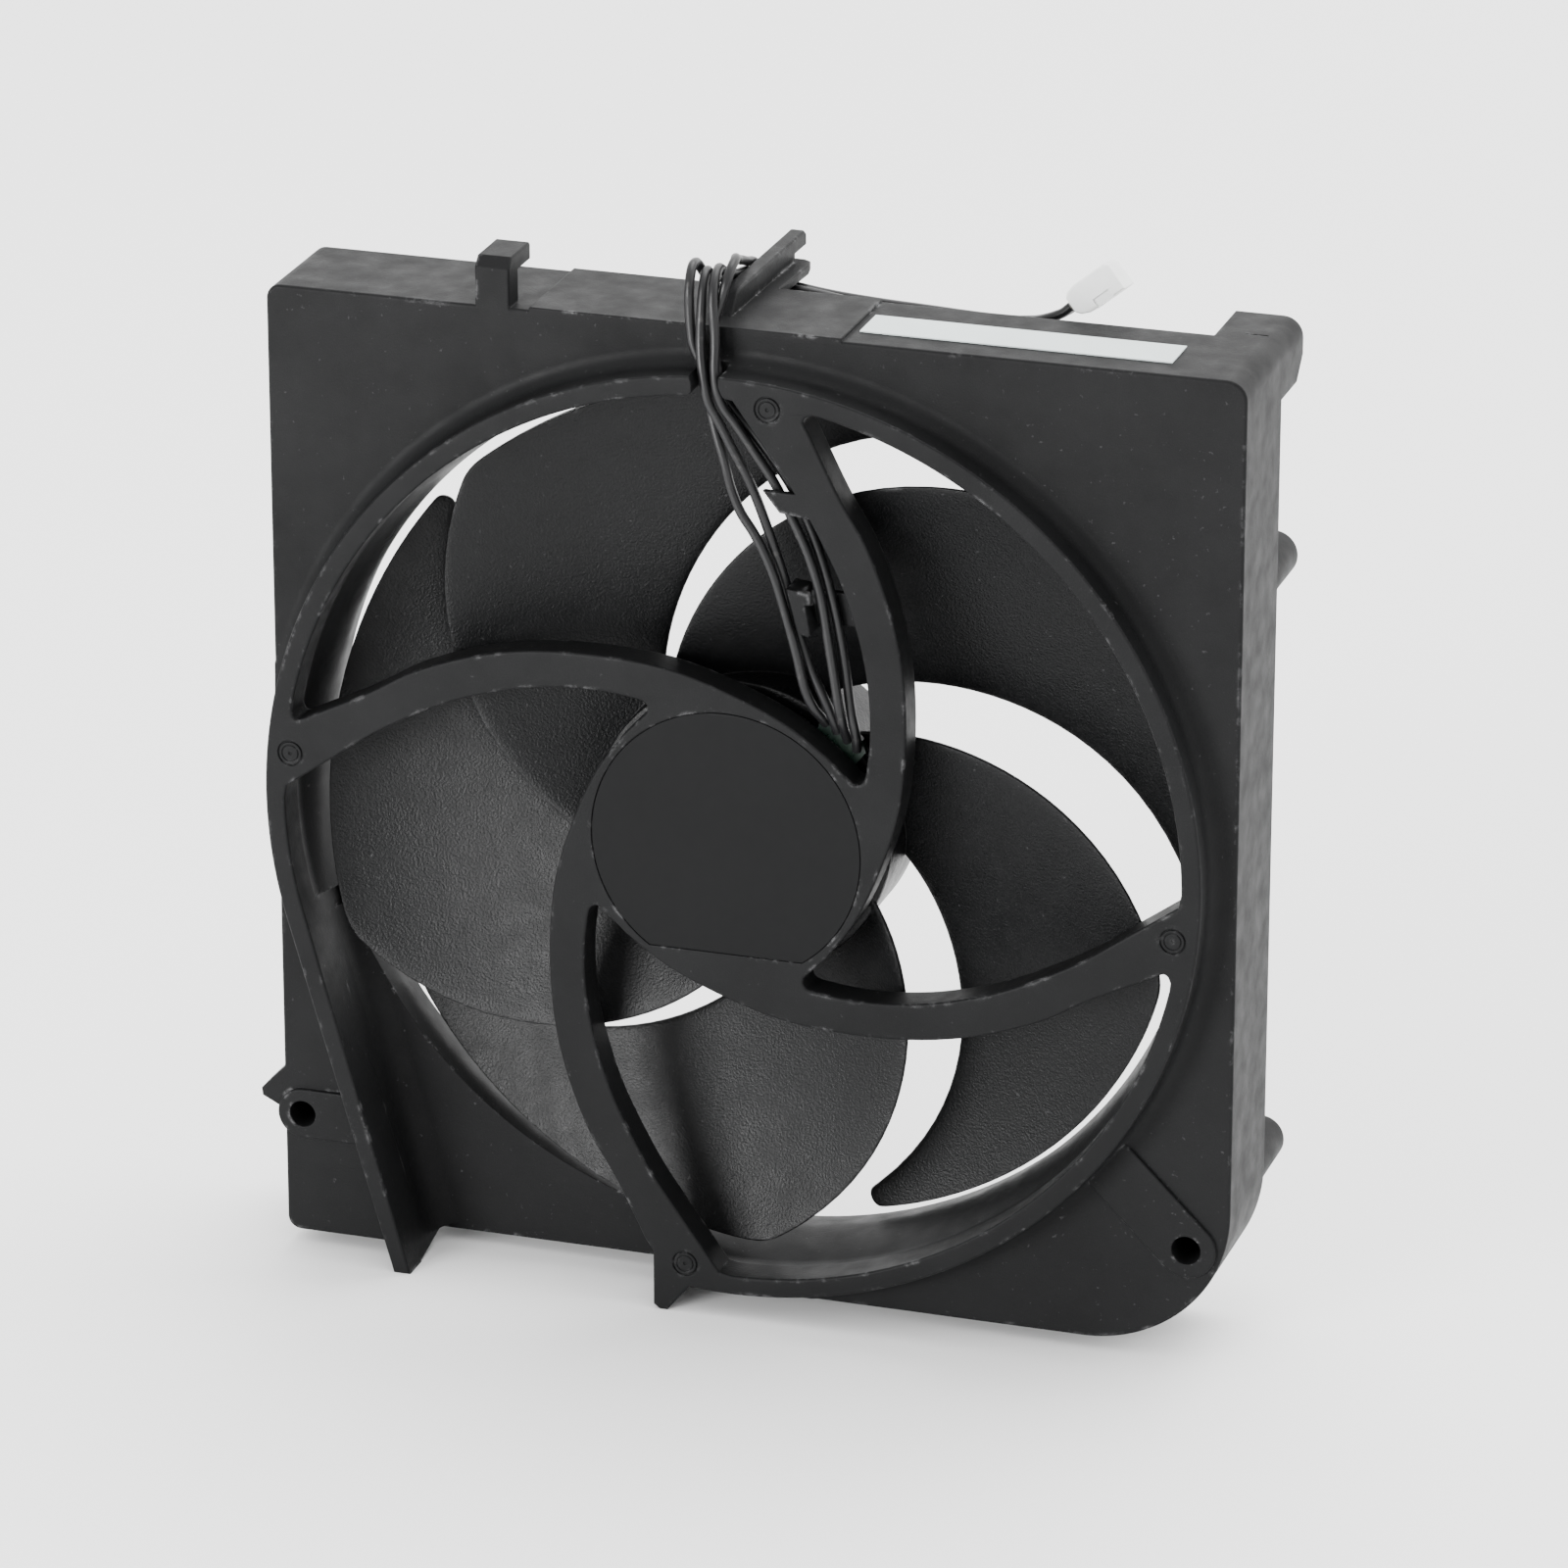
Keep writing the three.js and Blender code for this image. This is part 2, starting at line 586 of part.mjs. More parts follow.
function rotorYoke() {
  const { inner, outer, front, capY, back } = YOKE;
  return turned([
    [inner, front], [outer, front], [outer, back - 0.4], [outer - 0.4, back], [1.55, back],
    [1.55, capY], [inner, capY],
  ], COAXIAL);
}

// The cross of four poles: a core, an arm and a shoe for each.
function poleCross(extra, y0, y1) {
  const { bore, core, arm, shoeInner, shoeOuter, shoeDeg } = STATOR;
  const half = arm + extra;
  const limb = [[4, -half], [shoeInner + 0.5, -half], [shoeInner + 0.5, half], [4, half]];
  const shoe = [
    ...arc(0, 0, shoeOuter - extra, -shoeDeg, shoeDeg, 5),
    ...arc(0, 0, shoeInner, shoeDeg, -shoeDeg, 5),
  ];
  let cross = disc(core + extra, y0, y1, SMALL);
  for (let turns = 0; turns < 4; turns += 1) {
    cross = union(cross, slabY(quarterTurn(limb, turns), y0, y1), slabY(quarterTurn(shoe, turns), y0, y1));
  }
  return cross.subtract(disc(bore, y0 - 1, y1 + 1, SMALL));
}

// A winding around one pole's arm: a rounded rectangular ring.
function coil(turns) {
  const [radialIn, radialOut] = [7.4, 10.7];
  const loop = (half, y0, y1, round) => [
    ...arc(half - round, y1 - round, round, 0, 90, 3),
    ...arc(-half + round, y1 - round, round, 90, 180, 3),
    ...arc(-half + round, y0 + round, round, 180, 270, 3),
    ...arc(half - round, y0 + round, round, 270, 360, 3),
  ];
  // The outline runs in (Z, Y) and is pushed out along X.
  const place = new THREE.Matrix4().set(0, 0, 1, radialIn, 0, 1, 0, 0, 1, 0, 0, 0, 0, 0, 0, 1);
  const outer = solidOf(extruded(loop(4.5, 7, 16, 1.2), radialOut - radialIn).applyMatrix4(place));
  const inner = slabX(
    loop(2.5, 8.2, 14.8, 0.4).map(([z, y]) => [y, z]),
    radialIn - 1,
    radialOut + 1,
  );
  const geometry = geometryOf(outer.subtract(inner)).rotateY((-Math.PI / 2) * turns);
  return solidOf(geometry);
}

function circuitBoard() {
  const outline = [[14.2, 9.6], [16.4, 12.4], [16, 13.9], [12.6, 16.4], [10.8, 16.7], [9.6, 12]];
  const tab = slabY(outline, BOARD.front, BOARD.back);
  const plate = disc(BOARD.radius, BOARD.front, BOARD.back, COAXIAL);
  return plate.add(tab).subtract(disc(BOARD.hole, BOARD.front - 1, BOARD.back + 1, COAXIAL));
}

function component(x, z, length, width, height) {
  const [y0, y1] = [BOARD.back + 0.05, BOARD.back + 0.05 + height];
  const shape = solidOf(extruded(
    [[-length / 2, -width / 2], [length / 2, -width / 2], [length / 2, width / 2], [-length / 2, width / 2]],
    y1 - y0,
  ).rotateX(Math.PI / 2).translate(0, y1, 0).rotateY(Math.PI / 4).translate(x, 0, z));
  return shape;
}

// ---------------------------------------------------------------- leads and plug

// Each lead runs from the board up beside strut A, through the gap in the ring, over the top wall,
// down behind it and under the clip's tongue, then right to the plug.
const LEAD_ROUTES = [
  [
    [11.6, 3.9, 15.9], [11.2, 3.2, 16.9], [10.4, 2.3, 18.5], [9.5, 1.8, 21], [8.5, 1.7, 25.3],
    [7.4, 1.7, 29.3], [5.5, 1.7, 35.3], [3.3, 1.8, 39.8], [1.5, 1.8, 42.5], [0.3, 1.8, 45.3],
    [-0.6, 1.8, 48.8], [-1.8, 2.2, 52.3], [-2.85, 2.85, 55.8], [-3.3, 3, 58.6], [-4, 3.1, 60.4],
    [-4.9, 3.2, 62.5], [-5.3, 3.4, 64.8], [-5.5, 3.6, 67.2], [-5.55, 3.7, 69], [-5.65, 4.4, 70.5],
    [-5.8, 5.7, 71.5], [-5.9, 7.3, 71.5], [-6, 8.8, 70.7], [-6.1, 11, 69], [-6.4, 14, 67.3],
    [-6.8, 17, 66.2], [-6.95, 20.2, 65.7], [-6.95, 21.6, 65.3], [-6.85, 22.5, 64.4], [-6.2, 23, 63.3],
    [-5, 23.5, 62.7], [-3.6, 23.9, 62.3], [-1.5, 24.1, 62.2], [5, 24, 61.9], [15, 24.1, 61.2],
    [24, 24.2, 61.2], [30, 24.5, 62.1],
  ],
  [
    [13, 3.9, 15], [12.8, 3.4, 16.2], [12.3, 3.1, 17.8], [11.4, 2.9, 20], [9.8, 3, 23.4],
    [8, 3.1, 28.8], [6.8, 3.1, 33.4], [5.5, 2.9, 37.6], [3.5, 2.2, 44], [2.2, 1.9, 47.2],
    [0.4, 1.7, 50.6], [-1.1, 1.6, 53.6], [-2.5, 1.5, 56.2], [-3, 1.55, 58.6], [-3.4, 1.8, 60.7],
    [-3.7, 2.3, 62.7], [-3.85, 2.8, 64.7], [-3.9, 3.3, 66.6], [-3.95, 3.8, 68.3], [-4, 4.4, 69.7],
    [-4.15, 5.6, 70.7], [-4.35, 7.1, 70.7], [-4.6, 8.6, 69.8], [-4.9, 10.6, 68.1], [-5.1, 12.8, 66.6],
    [-5.25, 15, 65.8], [-5.4, 18, 65.3], [-5.6, 21, 65.3], [-5.65, 22.3, 65.05], [-5.65, 23.6, 64.6],
    [-5.6, 24.7, 63.75], [-5.2, 25.6, 62.85], [-4.1, 26.3, 62.3], [-2.2, 26.5, 62.1], [2, 26.1, 62],
    [12, 25.8, 61.3], [24, 25.8, 61.1], [30, 25.9, 61.8],
  ],
  [
    [14.3, 3.9, 14], [14.2, 3.1, 15.4], [14.1, 2.2, 17], [13.9, 1.6, 19.1], [13.5, 1.5, 21.8],
    [12.6, 1.6, 27.2], [11.5, 1.7, 33.2], [9.9, 1.8, 38.2], [7.9, 1.9, 42.4], [5.8, 1.9, 46.5],
    [3.3, 1.8, 50.2], [0.9, 1.7, 53.6], [-0.7, 1.6, 55.8], [-1.5, 1.5, 58.2], [-1.75, 1.7, 60.4],
    [-1.85, 2.2, 62.4], [-2, 2.6, 64.4], [-2.2, 2.8, 66.3], [-2.4, 3.1, 68], [-2.5, 3.8, 69.7],
    [-2.65, 5.2, 70.9], [-2.95, 7.1, 71.1], [-3.4, 9.4, 70.3], [-4, 12.4, 69], [-4.4, 15, 67.9],
    [-4.6, 17.6, 67], [-4.7, 20, 66.4], [-4.75, 22.4, 65.95], [-4.8, 24, 65.4], [-4.8, 25.2, 64.75],
    [-4.85, 26.2, 64], [-4.8, 27.1, 63.1], [-4.2, 27.8, 62.45], [-2.8, 28.2, 62.2], [0.5, 27.9, 62.3],
    [10, 27.6, 61.3], [22, 27.4, 61.1], [30, 27.4, 61.5],
  ],
  [
    [15.5, 3.9, 12.9], [15.6, 3.4, 14.3], [15.5, 3, 16], [15.1, 2.9, 18], [14, 2.8, 26.2],
    [12.8, 2.7, 32.2], [11.3, 2.9, 37.2], [9.6, 3, 41.6], [7.6, 3, 45.8], [5.7, 3, 48.6],
    [3.4, 3, 51.5], [0.3, 3, 54.9], [-1.2, 2.95, 57], [-1.7, 3, 59], [-2.15, 3.3, 61], [-2.6, 3.8, 63],
    [-2.55, 4.15, 65], [-2.1, 4.2, 66.8], [-1.6, 4.3, 68.6], [-1.2, 4.7, 70.3], [-1, 5.9, 71.65],
    [-1.1, 7.6, 72.1], [-1.75, 10, 71.6], [-2.8, 13, 70.6], [-3.7, 16, 69.6], [-4.25, 18.5, 68.6],
    [-4.4, 20.8, 67.8], [-4.4, 22.4, 67.2], [-4.4, 24.4, 66.6], [-4.4, 25.8, 65.9], [-4.4, 27, 65],
    [-4.4, 28.1, 64], [-4.4, 28.95, 63.1], [-3.8, 29.5, 62.5], [-2.2, 29.8, 62.3], [4.3, 29.5, 61.6],
    [15, 29.2, 61.1], [30, 29, 61.1],
  ],
];

// The plug's own frame: X from the leads to the mating end, Y across the row of ways.
function plugPlace() {
  const { aroundX, aroundY, aroundZ } = PLUG_TURN;
  const turn = new THREE.Euler(...[aroundX, aroundY, aroundZ].map(THREE.MathUtils.degToRad), 'ZYX');
  return new THREE.Matrix4().makeRotationFromEuler(turn).setPosition(...PLUG_ENTRY);
}

// A point on the line of a lead's cavity, at a distance outside the plug's lead end.
function leadArrival(number, outside) {
  return new THREE.Vector3(-outside, (number - 1.5) * PLUG.pitch, 0).applyMatrix4(plugPlace());
}

function lead(number) {
  const route = LEAD_ROUTES[number].map((point) => new THREE.Vector3(...point));
  route.push(leadArrival(number, 1.8), leadArrival(number, 0.3));
  const path = new THREE.CatmullRomCurve3(route, false, 'centripetal');
  const section = arc(0, 0, LEAD_DIAMETER / 2, 0, 315, 7);
  const circle = new THREE.Shape(section.map(([u, v]) => new THREE.Vector2(u, v)));
  const tube = new THREE.ExtrudeGeometry(circle, { steps: 64, extrudePath: path, bevelEnabled: false });
  return solidOf(tube);
}

function localBox(x0, x1, y0, y1, z0, z1) {
  return extruded([[x0, y0], [x1, y0], [x1, y1], [x0, y1]], z1 - z0).translate(0, 0, z0);
}

function plugHousing() {
  const { length, width, height, pitch, cavity, cavityDepth } = PLUG;
  const top = height / 2;
  const side = [
    [0, -0.95], [0.5, -1.5], [1.5, -top], [length, -top], [length, top - 0.5], [length - 0.5, top],
    [1.8, top], [0.5, 1.6], [0, 1.05],
  ];
  const turn = new THREE.Matrix4().set(1, 0, 0, 0, 0, 0, -1, width / 2, 0, 1, 0, 0, 0, 0, 0, 1);
  let body = solidOf(extruded(side, width).applyMatrix4(turn));
  for (let i = 0; i < 4; i += 1) {
    const y = (i - 1.5) * pitch;
    const half = cavity / 2;
    body = body.subtract(solidOf(localBox(-1, cavityDepth, y - half, y + half, -half, half)));
  }
  const latch = solidOf(localBox(2.6, 4.95, -width / 2 - 1, -width / 2 + 0.3, -top - 1, -0.85));
  return solidOf(geometryOf(body.subtract(latch)).applyMatrix4(plugPlace()));
}

function terminal(number) {
  const y = (number - 1.5) * PLUG.pitch;
  const half = PLUG.cavity / 2 - 0.12;
  const blade = localBox(0.3, PLUG.cavityDepth - 0.3, y - half, y + half, -half, half);
  return solidOf(blade.applyMatrix4(plugPlace()));
}

// ---------------------------------------------------------------- assembly

const fan = new THREE.Group();
fan.name = 'case_fan';

function addPart(name, solid, material, parent) {
  const mesh = new THREE.Mesh(geometryOf(solid), material);
  mesh.name = name;
  parent.add(mesh);
}

const frameGroup = new THREE.Group();
const rotorGroup = new THREE.Group();
const cableGroup = new THREE.Group();
fan.add(frameGroup, rotorGroup, cableGroup);

addPart('housing', housing(), blackPlastic, frameGroup);
addPart('hub_label', slabY(labelOutline(LABEL.gap), 0, LABEL.sheet), labelVinyl, frameGroup);
addPart('side_label', box(14, 52.6, 9.2, 15.7, PLATE.top + 0.03, PLATE.top + 0.18), labelPaper, frameGroup);
addPart('bearing_tube', washer(TUBE.inner, TUBE.outer, TUBE.front, TUBE.back, SMALL), brass, frameGroup);
addPart('front_bearing', bearingSolid(BEARING.frontY), steel, frameGroup);
addPart('rear_bearing', bearingSolid(BEARING.rearY), steel, frameGroup);
addPart('stator_core', poleCross(0, STATOR_Y.front, STATOR_Y.back), lamination, frameGroup);
const frontInsulator = poleCross(0.4, STATOR_Y.front - 0.8, STATOR_Y.front - 0.1);
const rearInsulator = poleCross(0.4, STATOR_Y.back + 0.1, STATOR_Y.back + 0.8);
addPart('front_insulator', frontInsulator, insulatorPlastic, frameGroup);
addPart('rear_insulator', rearInsulator, insulatorPlastic, frameGroup);
for (let i = 0; i < 4; i += 1) {
  addPart(`coil_${i + 1}`, coil(i), copper, frameGroup);
}
addPart('circuit_board', circuitBoard(), board, frameGroup);
addPart('driver_chip', component(-8.2, 8.2, 4.4, 3.6, 1.2), chipPlastic, frameGroup);
addPart('hall_sensor', component(-8.2, -8.2, 3, 1.8, 1.1), chipPlastic, frameGroup);
addPart('capacitor', component(8.2, -8.2, 2.6, 1.6, 1.2), insulatorPlastic, frameGroup);

addPart('impeller', impeller(), bladePlastic, rotorGroup);
addPart('rotor_yoke', rotorYoke(), steel, rotorGroup);
const magnet = washer(MAGNET.inner, MAGNET.outer, MAGNET.front, MAGNET.back, COAXIAL);
addPart('magnet_ring', magnet, magnetRubber, rotorGroup);
addPart('shaft', shaft(), steel, rotorGroup);
addPart('retaining_clip', retainingClip(), steel, rotorGroup);
addPart('thrust_washer', washer(1.6, 2.6, 4.75, 4.95, SMALL), nylon, rotorGroup);
addPart('preload_spring', washer(1.7, 2.8, 16.6, 17, SMALL), steel, rotorGroup);

for (let i = 0; i < 4; i += 1) {
  addPart(`lead_${i + 1}`, lead(i), leadSleeve, cableGroup);
  addPart(`crimp_terminal_${i + 1}`, terminal(i), brass, cableGroup);
}
addPart('plug_housing', plugHousing(), nylon, cableGroup);

export default fan;
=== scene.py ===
"""The looks of the case fan: a moulded frame, impeller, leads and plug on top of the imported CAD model.

Lengths are written in millimetres and turned into metres by MM when a mesh or curve is made.
X runs right, Z up and Y back; the impeller turns about the Y axis through the origin.
"""

import math

import bmesh
import bpy
from mathutils import Matrix, Vector
from mathutils.geometry import tessellate_polygon


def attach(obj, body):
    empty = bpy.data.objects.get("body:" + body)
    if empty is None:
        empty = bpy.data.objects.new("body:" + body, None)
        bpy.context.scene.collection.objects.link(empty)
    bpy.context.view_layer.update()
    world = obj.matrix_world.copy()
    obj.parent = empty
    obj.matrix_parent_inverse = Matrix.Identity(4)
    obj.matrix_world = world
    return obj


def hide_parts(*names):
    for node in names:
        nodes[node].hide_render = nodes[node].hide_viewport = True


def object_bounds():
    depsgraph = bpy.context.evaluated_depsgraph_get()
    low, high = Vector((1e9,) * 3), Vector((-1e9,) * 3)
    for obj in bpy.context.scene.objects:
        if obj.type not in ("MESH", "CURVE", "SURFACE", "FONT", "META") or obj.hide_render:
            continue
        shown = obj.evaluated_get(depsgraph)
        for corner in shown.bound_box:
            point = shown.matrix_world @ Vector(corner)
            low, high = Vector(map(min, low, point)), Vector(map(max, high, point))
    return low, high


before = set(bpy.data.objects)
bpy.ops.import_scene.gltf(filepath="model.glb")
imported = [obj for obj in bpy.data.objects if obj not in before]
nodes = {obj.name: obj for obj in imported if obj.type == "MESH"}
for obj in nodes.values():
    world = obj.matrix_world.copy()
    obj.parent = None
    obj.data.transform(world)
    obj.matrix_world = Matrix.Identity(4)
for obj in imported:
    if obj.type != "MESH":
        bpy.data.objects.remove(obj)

MM = 0.001
# How near to the axis a turned profile comes. It leaves a sliver or pinhole of this radius, in millimetres.
NEAR_AXIS = 0.001
cad_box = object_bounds()

# ------------------------------------------------------------------ dimensions, in millimetres

# The studio floor, which the fin and the bottom tab stand on.
FLOOR_Z = round(cad_box[0][2] / MM, 2)
RING_OUTER, RING_INNER, RING_FOOT = 59.8, 57.3, 2.2
LEFT, RIGHT, BOTTOM, TOP = -60.15, 62.9, -61.28, 64.13
PLATE_Y, BACK_Y, WALL = 5.0, 21.3, 2.0
STRUT_BACK, SEAT_BACK = 4.3, 31.3
# The duct's bore, as (radius, y) from front to back.
BORE = [(57.5, 5.4), (56.7, 8.2), (56.2, 11.1), (56.0, 13.9), (56.3, 16.4), (56.7, 18.8)]
DUCT_OUTER, DUCT_BACK = 58.2, 18.8
# The lower left window runs on into an outlet with a sunken floor, between the fin and a short right wall.
FIN_DEG, FIN_WALL, FIN_TIP = 195.6, 2.2, FLOOR_Z
OUTLET_RIGHT, FLOOR_Y, FLOOR_WALL = -9.6, 11.5, 2
# A height below the whole fan, for what the outlet cuts away.
BELOW = -72
# Each screw hole and rear standoff, as (x, z), and the radii of the bosses around the screw holes.
LEFT_SCREW, RIGHT_SCREW = (-57.6, -45), (57.6, -47.7)
LEFT_BOSS, RIGHT_BOSS = 3.3, 3.7
REAR_SEATS = [(59.85, 33.8), (59.85, -43.4), (-57.1, 33.8), (-57.1, -43.4)]
LEAD, RAISED = 1.2, 0.4


# ------------------------------------------------------------------ camera

def add_camera():
    data = bpy.data.cameras.new("camera")
    data.lens = 190.5
    data.sensor_width = 36.0
    data.clip_start = 0.05
    camera = bpy.data.objects.new("camera", data)
    bpy.context.scene.collection.objects.link(camera)
    azimuth, elevation, distance = math.radians(17.94), math.radians(21.31), 1.00193
    back = Vector((
        math.sin(azimuth) * math.cos(elevation),
        -math.cos(azimuth) * math.cos(elevation),
        math.sin(elevation),
    ))
    target = Vector((7.51, 0.0, 9.02)) * MM
    camera.location = target + back * distance
    camera.rotation_euler = back.to_track_quat("Z", "Y").to_euler()
    bpy.context.scene.camera = camera


# ------------------------------------------------------------------ plane geometry, in (x, z)

def arc(cx, cz, radius, start, end, steps):
    """Points on an arc, both ends included, with angles in degrees from +X towards +Z."""
    angles = [math.radians(start + (end - start) * i / steps) for i in range(steps + 1)]
    return [(cx + radius * math.cos(a), cz + radius * math.sin(a)) for a in angles]


def quarter_turn(points, times):
    for _ in range(times % 4):
        points = [(-z, x) for x, z in points]
    return points


def catmull_rom(points, per_span):
    """A centripetal Catmull-Rom curve through points of any dimension."""
    p = [Vector(q) for q in points]
    p = [p[0] * 2 - p[1]] + p + [p[-1] * 2 - p[-2]]
    out = []
    for i in range(1, len(p) - 2):
        a, b, c, d = p[i - 1], p[i], p[i + 1], p[i + 2]
        t1 = math.sqrt((b - a).length)
        t2 = t1 + math.sqrt((c - b).length)
        t3 = t2 + math.sqrt((d - c).length)
        for k in range(per_span):
            t = t1 + (t2 - t1) * k / per_span
            ab = a * ((t1 - t) / t1) + b * (t / t1)
            bc = b * ((t2 - t) / (t2 - t1)) + c * ((t - t1) / (t2 - t1))
            cd = c * ((t3 - t) / (t3 - t2)) + d * ((t - t2) / (t3 - t2))
            abc = ab * ((t2 - t) / t2) + bc * (t / t2)
            bcd = bc * ((t3 - t) / (t3 - t1)) + cd * ((t - t1) / (t3 - t1))
            out.append(abc * ((t2 - t) / (t2 - t1)) + bcd * ((t - t1) / (t2 - t1)))
    out.append(p[-2])
    return out


def smooth(points, per_span=6):
    return [(v.x, v.y) for v in catmull_rom([(x, z, 0) for x, z in points], per_span)]


def area(points):
    pairs = zip(points, points[1:] + points[:1])
    return sum(a[0] * b[1] - b[0] * a[1] for a, b in pairs) / 2


def inset(points, distance):
    """The loop moved into its material by distance. Solid lies to the left of the loop."""
    out = []
    count = len(points)
    for i in range(count):
        a, b, c = (Vector(points[(i + k) % count]) for k in (-1, 0, 1))
        first, second = (b - a).normalized(), (c - b).normalized()
        n1, n2 = Vector((first.y, -first.x)), Vector((second.y, -second.x))
        out.append(tuple(b - (n1 + n2) * (distance / max(1 + n1.dot(n2), 0.25))))
    return out


# ------------------------------------------------------------------ mesh building

def new_object(name, mesh):
    piece = bpy.data.objects.new(name, mesh)
    bpy.context.scene.collection.objects.link(piece)
    return piece


def mesh_of(name, vertices, faces):
    mesh = bpy.data.meshes.new(name)
    mesh.from_pydata([Vector(v) * MM for v in vertices], [], faces)
    bm = bmesh.new()
    bm.from_mesh(mesh)
    bmesh.ops.remove_doubles(bm, verts=bm.verts, dist=1e-7)
    bmesh.ops.recalc_face_normals(bm, faces=bm.faces)
    bm.to_mesh(mesh)
    bm.free()
    return new_object(name, mesh)


def rounded_steps(y0, y1, front, back, steps=3):
    """(inset, y) pairs down the side of a slab with rounded front and back edges."""
    pairs = []
    for i in range(steps + 1 if front else 1):
        turn = math.pi / 2 * i / steps if front else 0
        pairs.append((front * (1 - math.sin(turn)), y0 + front * (1 - math.cos(turn))))
    for i in range(steps + 1 if back else 1):
        turn = math.pi / 2 * (1 - i / steps) if back else 0
        pairs.append((back * (1 - math.sin(turn)), y1 - back * (1 - math.cos(turn))))
    return pairs


def slab(name, outline, y0, y1, front=0.0, back=0.0, holes=(), place=None):
    """A plate with its outline and holes in (x, z), from y0 back to y1, with rounded edges.

    place maps (x, y, z) to another position, for slabs that lie in another plane.
    """
    loops = [outline if area(outline) > 0 else outline[::-1]]
    loops += [hole if area(hole) < 0 else hole[::-1] for hole in holes]
    pairs = rounded_steps(y0, y1, front, back)
    vertices, faces = [], []
    starts = []
    for loop in loops:
        count = len(loop)
        first = len(vertices)
        starts.append(first)
        for draw, y in pairs:
            vertices += [(x, y, z) for x, z in inset(loop, draw)]
        for level in range(len(pairs) - 1):
            for i in range(count):
                a, b = first + level * count + i, first + level * count + (i + 1) % count
                faces.append((a, b, b + count, a + count))
    for level in (0, len(pairs) - 1):
        index = [s + level * len(loop) + i for s, loop in zip(starts, loops) for i in range(len(loop))]
        flat = [[Vector((vertices[s + level * len(loop) + i][0], vertices[s + level * len(loop) + i][2], 0))
                 for i in range(len(loop))] for s, loop in zip(starts, loops)]
        faces += [tuple(index[k] for k in triangle) for triangle in tessellate_polygon(flat)]
    if place:
        vertices = [place(*v) for v in vertices]
    return mesh_of(name, vertices, faces)


def as_side_view(y, x, z):
    """Places a slab whose outline is in (y, z), and whose thickness runs along X."""
    return x, y, z


def as_plan_view(x, z, y):
    """Places a slab whose outline is in (x, y), and whose thickness runs along Z."""
    return x, y, z


def turned(name, profile, steps, x=0.0, z=0.0):
    """A body of revolution about a line along Y, from a closed (radius, y) profile."""
    vertices, faces = [], []
    count = len(profile)
    for i in range(steps):
        angle = 2 * math.pi * i / steps
        vertices += [(x + r * math.sin(angle), y, z + r * math.cos(angle)) for r, y in profile]
    for i in range(steps):
        for j in range(count):
            a, b = i * count + j, i * count + (j + 1) % count
            c, d = (i + 1) % steps * count + (j + 1) % count, (i + 1) % steps * count + j
            faces.append((a, b, c, d))
    return mesh_of(name, vertices, faces)


def disc(name, radius, y0, y1, steps, x=0.0, z=0.0, back=0.0):
    return slab(name, arc(x, z, radius, 0, 360 * (1 - 1 / steps), steps - 1), y0, y1, back=back)


def block(name, x0, x1, y0, y1, z0, z1, edge=0.15):
    """A box with all twelve edges rounded."""
    piece = slab(name, [(x0, z0), (x1, z0), (x1, z1), (x0, z1)], y0, y1)
    bevel_mesh(piece, edge)
    return piece


def bevel_mesh(piece, width, segments=3, angle=30):
    modifier = piece.modifiers.new("edges", "BEVEL")
    modifier.width = width * MM
    modifier.segments = segments
    modifier.limit_method = "ANGLE"
    modifier.angle_limit = math.radians(angle)
    apply_modifiers(piece)


def apply_modifiers(piece):
    bpy.context.view_layer.update()
    graph = bpy.context.evaluated_depsgraph_get()
    mesh = bpy.data.meshes.new_from_object(piece.evaluated_get(graph))
    piece.modifiers.clear()
    piece.data = mesh


def combine(target, others, operation):
    """Adds, cuts away or intersects each of the others, and removes them."""
    for other in others:
        modifier = target.modifiers.new(operation.lower(), "BOOLEAN")
        modifier.operation = operation
        modifier.solver = "MANIFOLD"
        modifier.object = other
        apply_modifiers(target)
        bpy.data.objects.remove(other)
    return target


def union(target, *others):
    return combine(target, others, "UNION")


def cut(target, *others):
    return combine(target, others, "DIFFERENCE")


def finish_shading(piece, degrees=32):
    """Smooth shading across soft edges, flat faces kept flat by area-weighted normals."""
    for polygon in piece.data.polygons:
        polygon.use_smooth = True
    mesh = piece.data
    bm = bmesh.new()
    bm.from_mesh(mesh)
    limit = math.radians(degrees)
    for edge in bm.edges:
        edge.smooth = len(edge.link_faces) == 2 and edge.calc_face_angle(0) < limit
    bm.to_mesh(mesh)
    bm.free()
    weighted = piece.modifiers.new("weighted", "WEIGHTED_NORMAL")
    weighted.keep_sharp = True
    weighted.weight = 80


# ------------------------------------------------------------------ materials

def material(name):
    made = bpy.data.materials.new(name)
    made.use_nodes = True
    tree = made.node_tree
    tree.nodes.clear()
    output = tree.nodes.new("ShaderNodeOutputMaterial")
    shader = tree.nodes.new("ShaderNodeBsdfPrincipled")
    tree.links.new(shader.outputs["BSDF"], output.inputs["Surface"])
    return made, tree, shader


def node(tree, kind, values=None, **settings):
    made = tree.nodes.new(kind)
    for key, value in settings.items():
        setattr(made, key, value)
    for key, value in (values or {}).items():
        made.inputs[key].default_value = value
    return made


def object_point(tree):
    return node(tree, "ShaderNodeTexCoord").outputs["Object"]


def noise(tree, point, scale, detail=3.0, roughness=0.55):
    made = node(tree, "ShaderNodeTexNoise", {"Scale": scale, "Detail": detail, "Roughness": roughness})
    tree.links.new(point, made.inputs["Vector"])
    return made.outputs["Fac"]


def remap(tree, value, low, high, out_low, out_high):
    made = node(tree, "ShaderNodeMapRange", {
        "From Min": low, "From Max": high, "To Min": out_low, "To Max": out_high,
    })
    tree.links.new(value, made.inputs["Value"])
    return made.outputs["Result"]


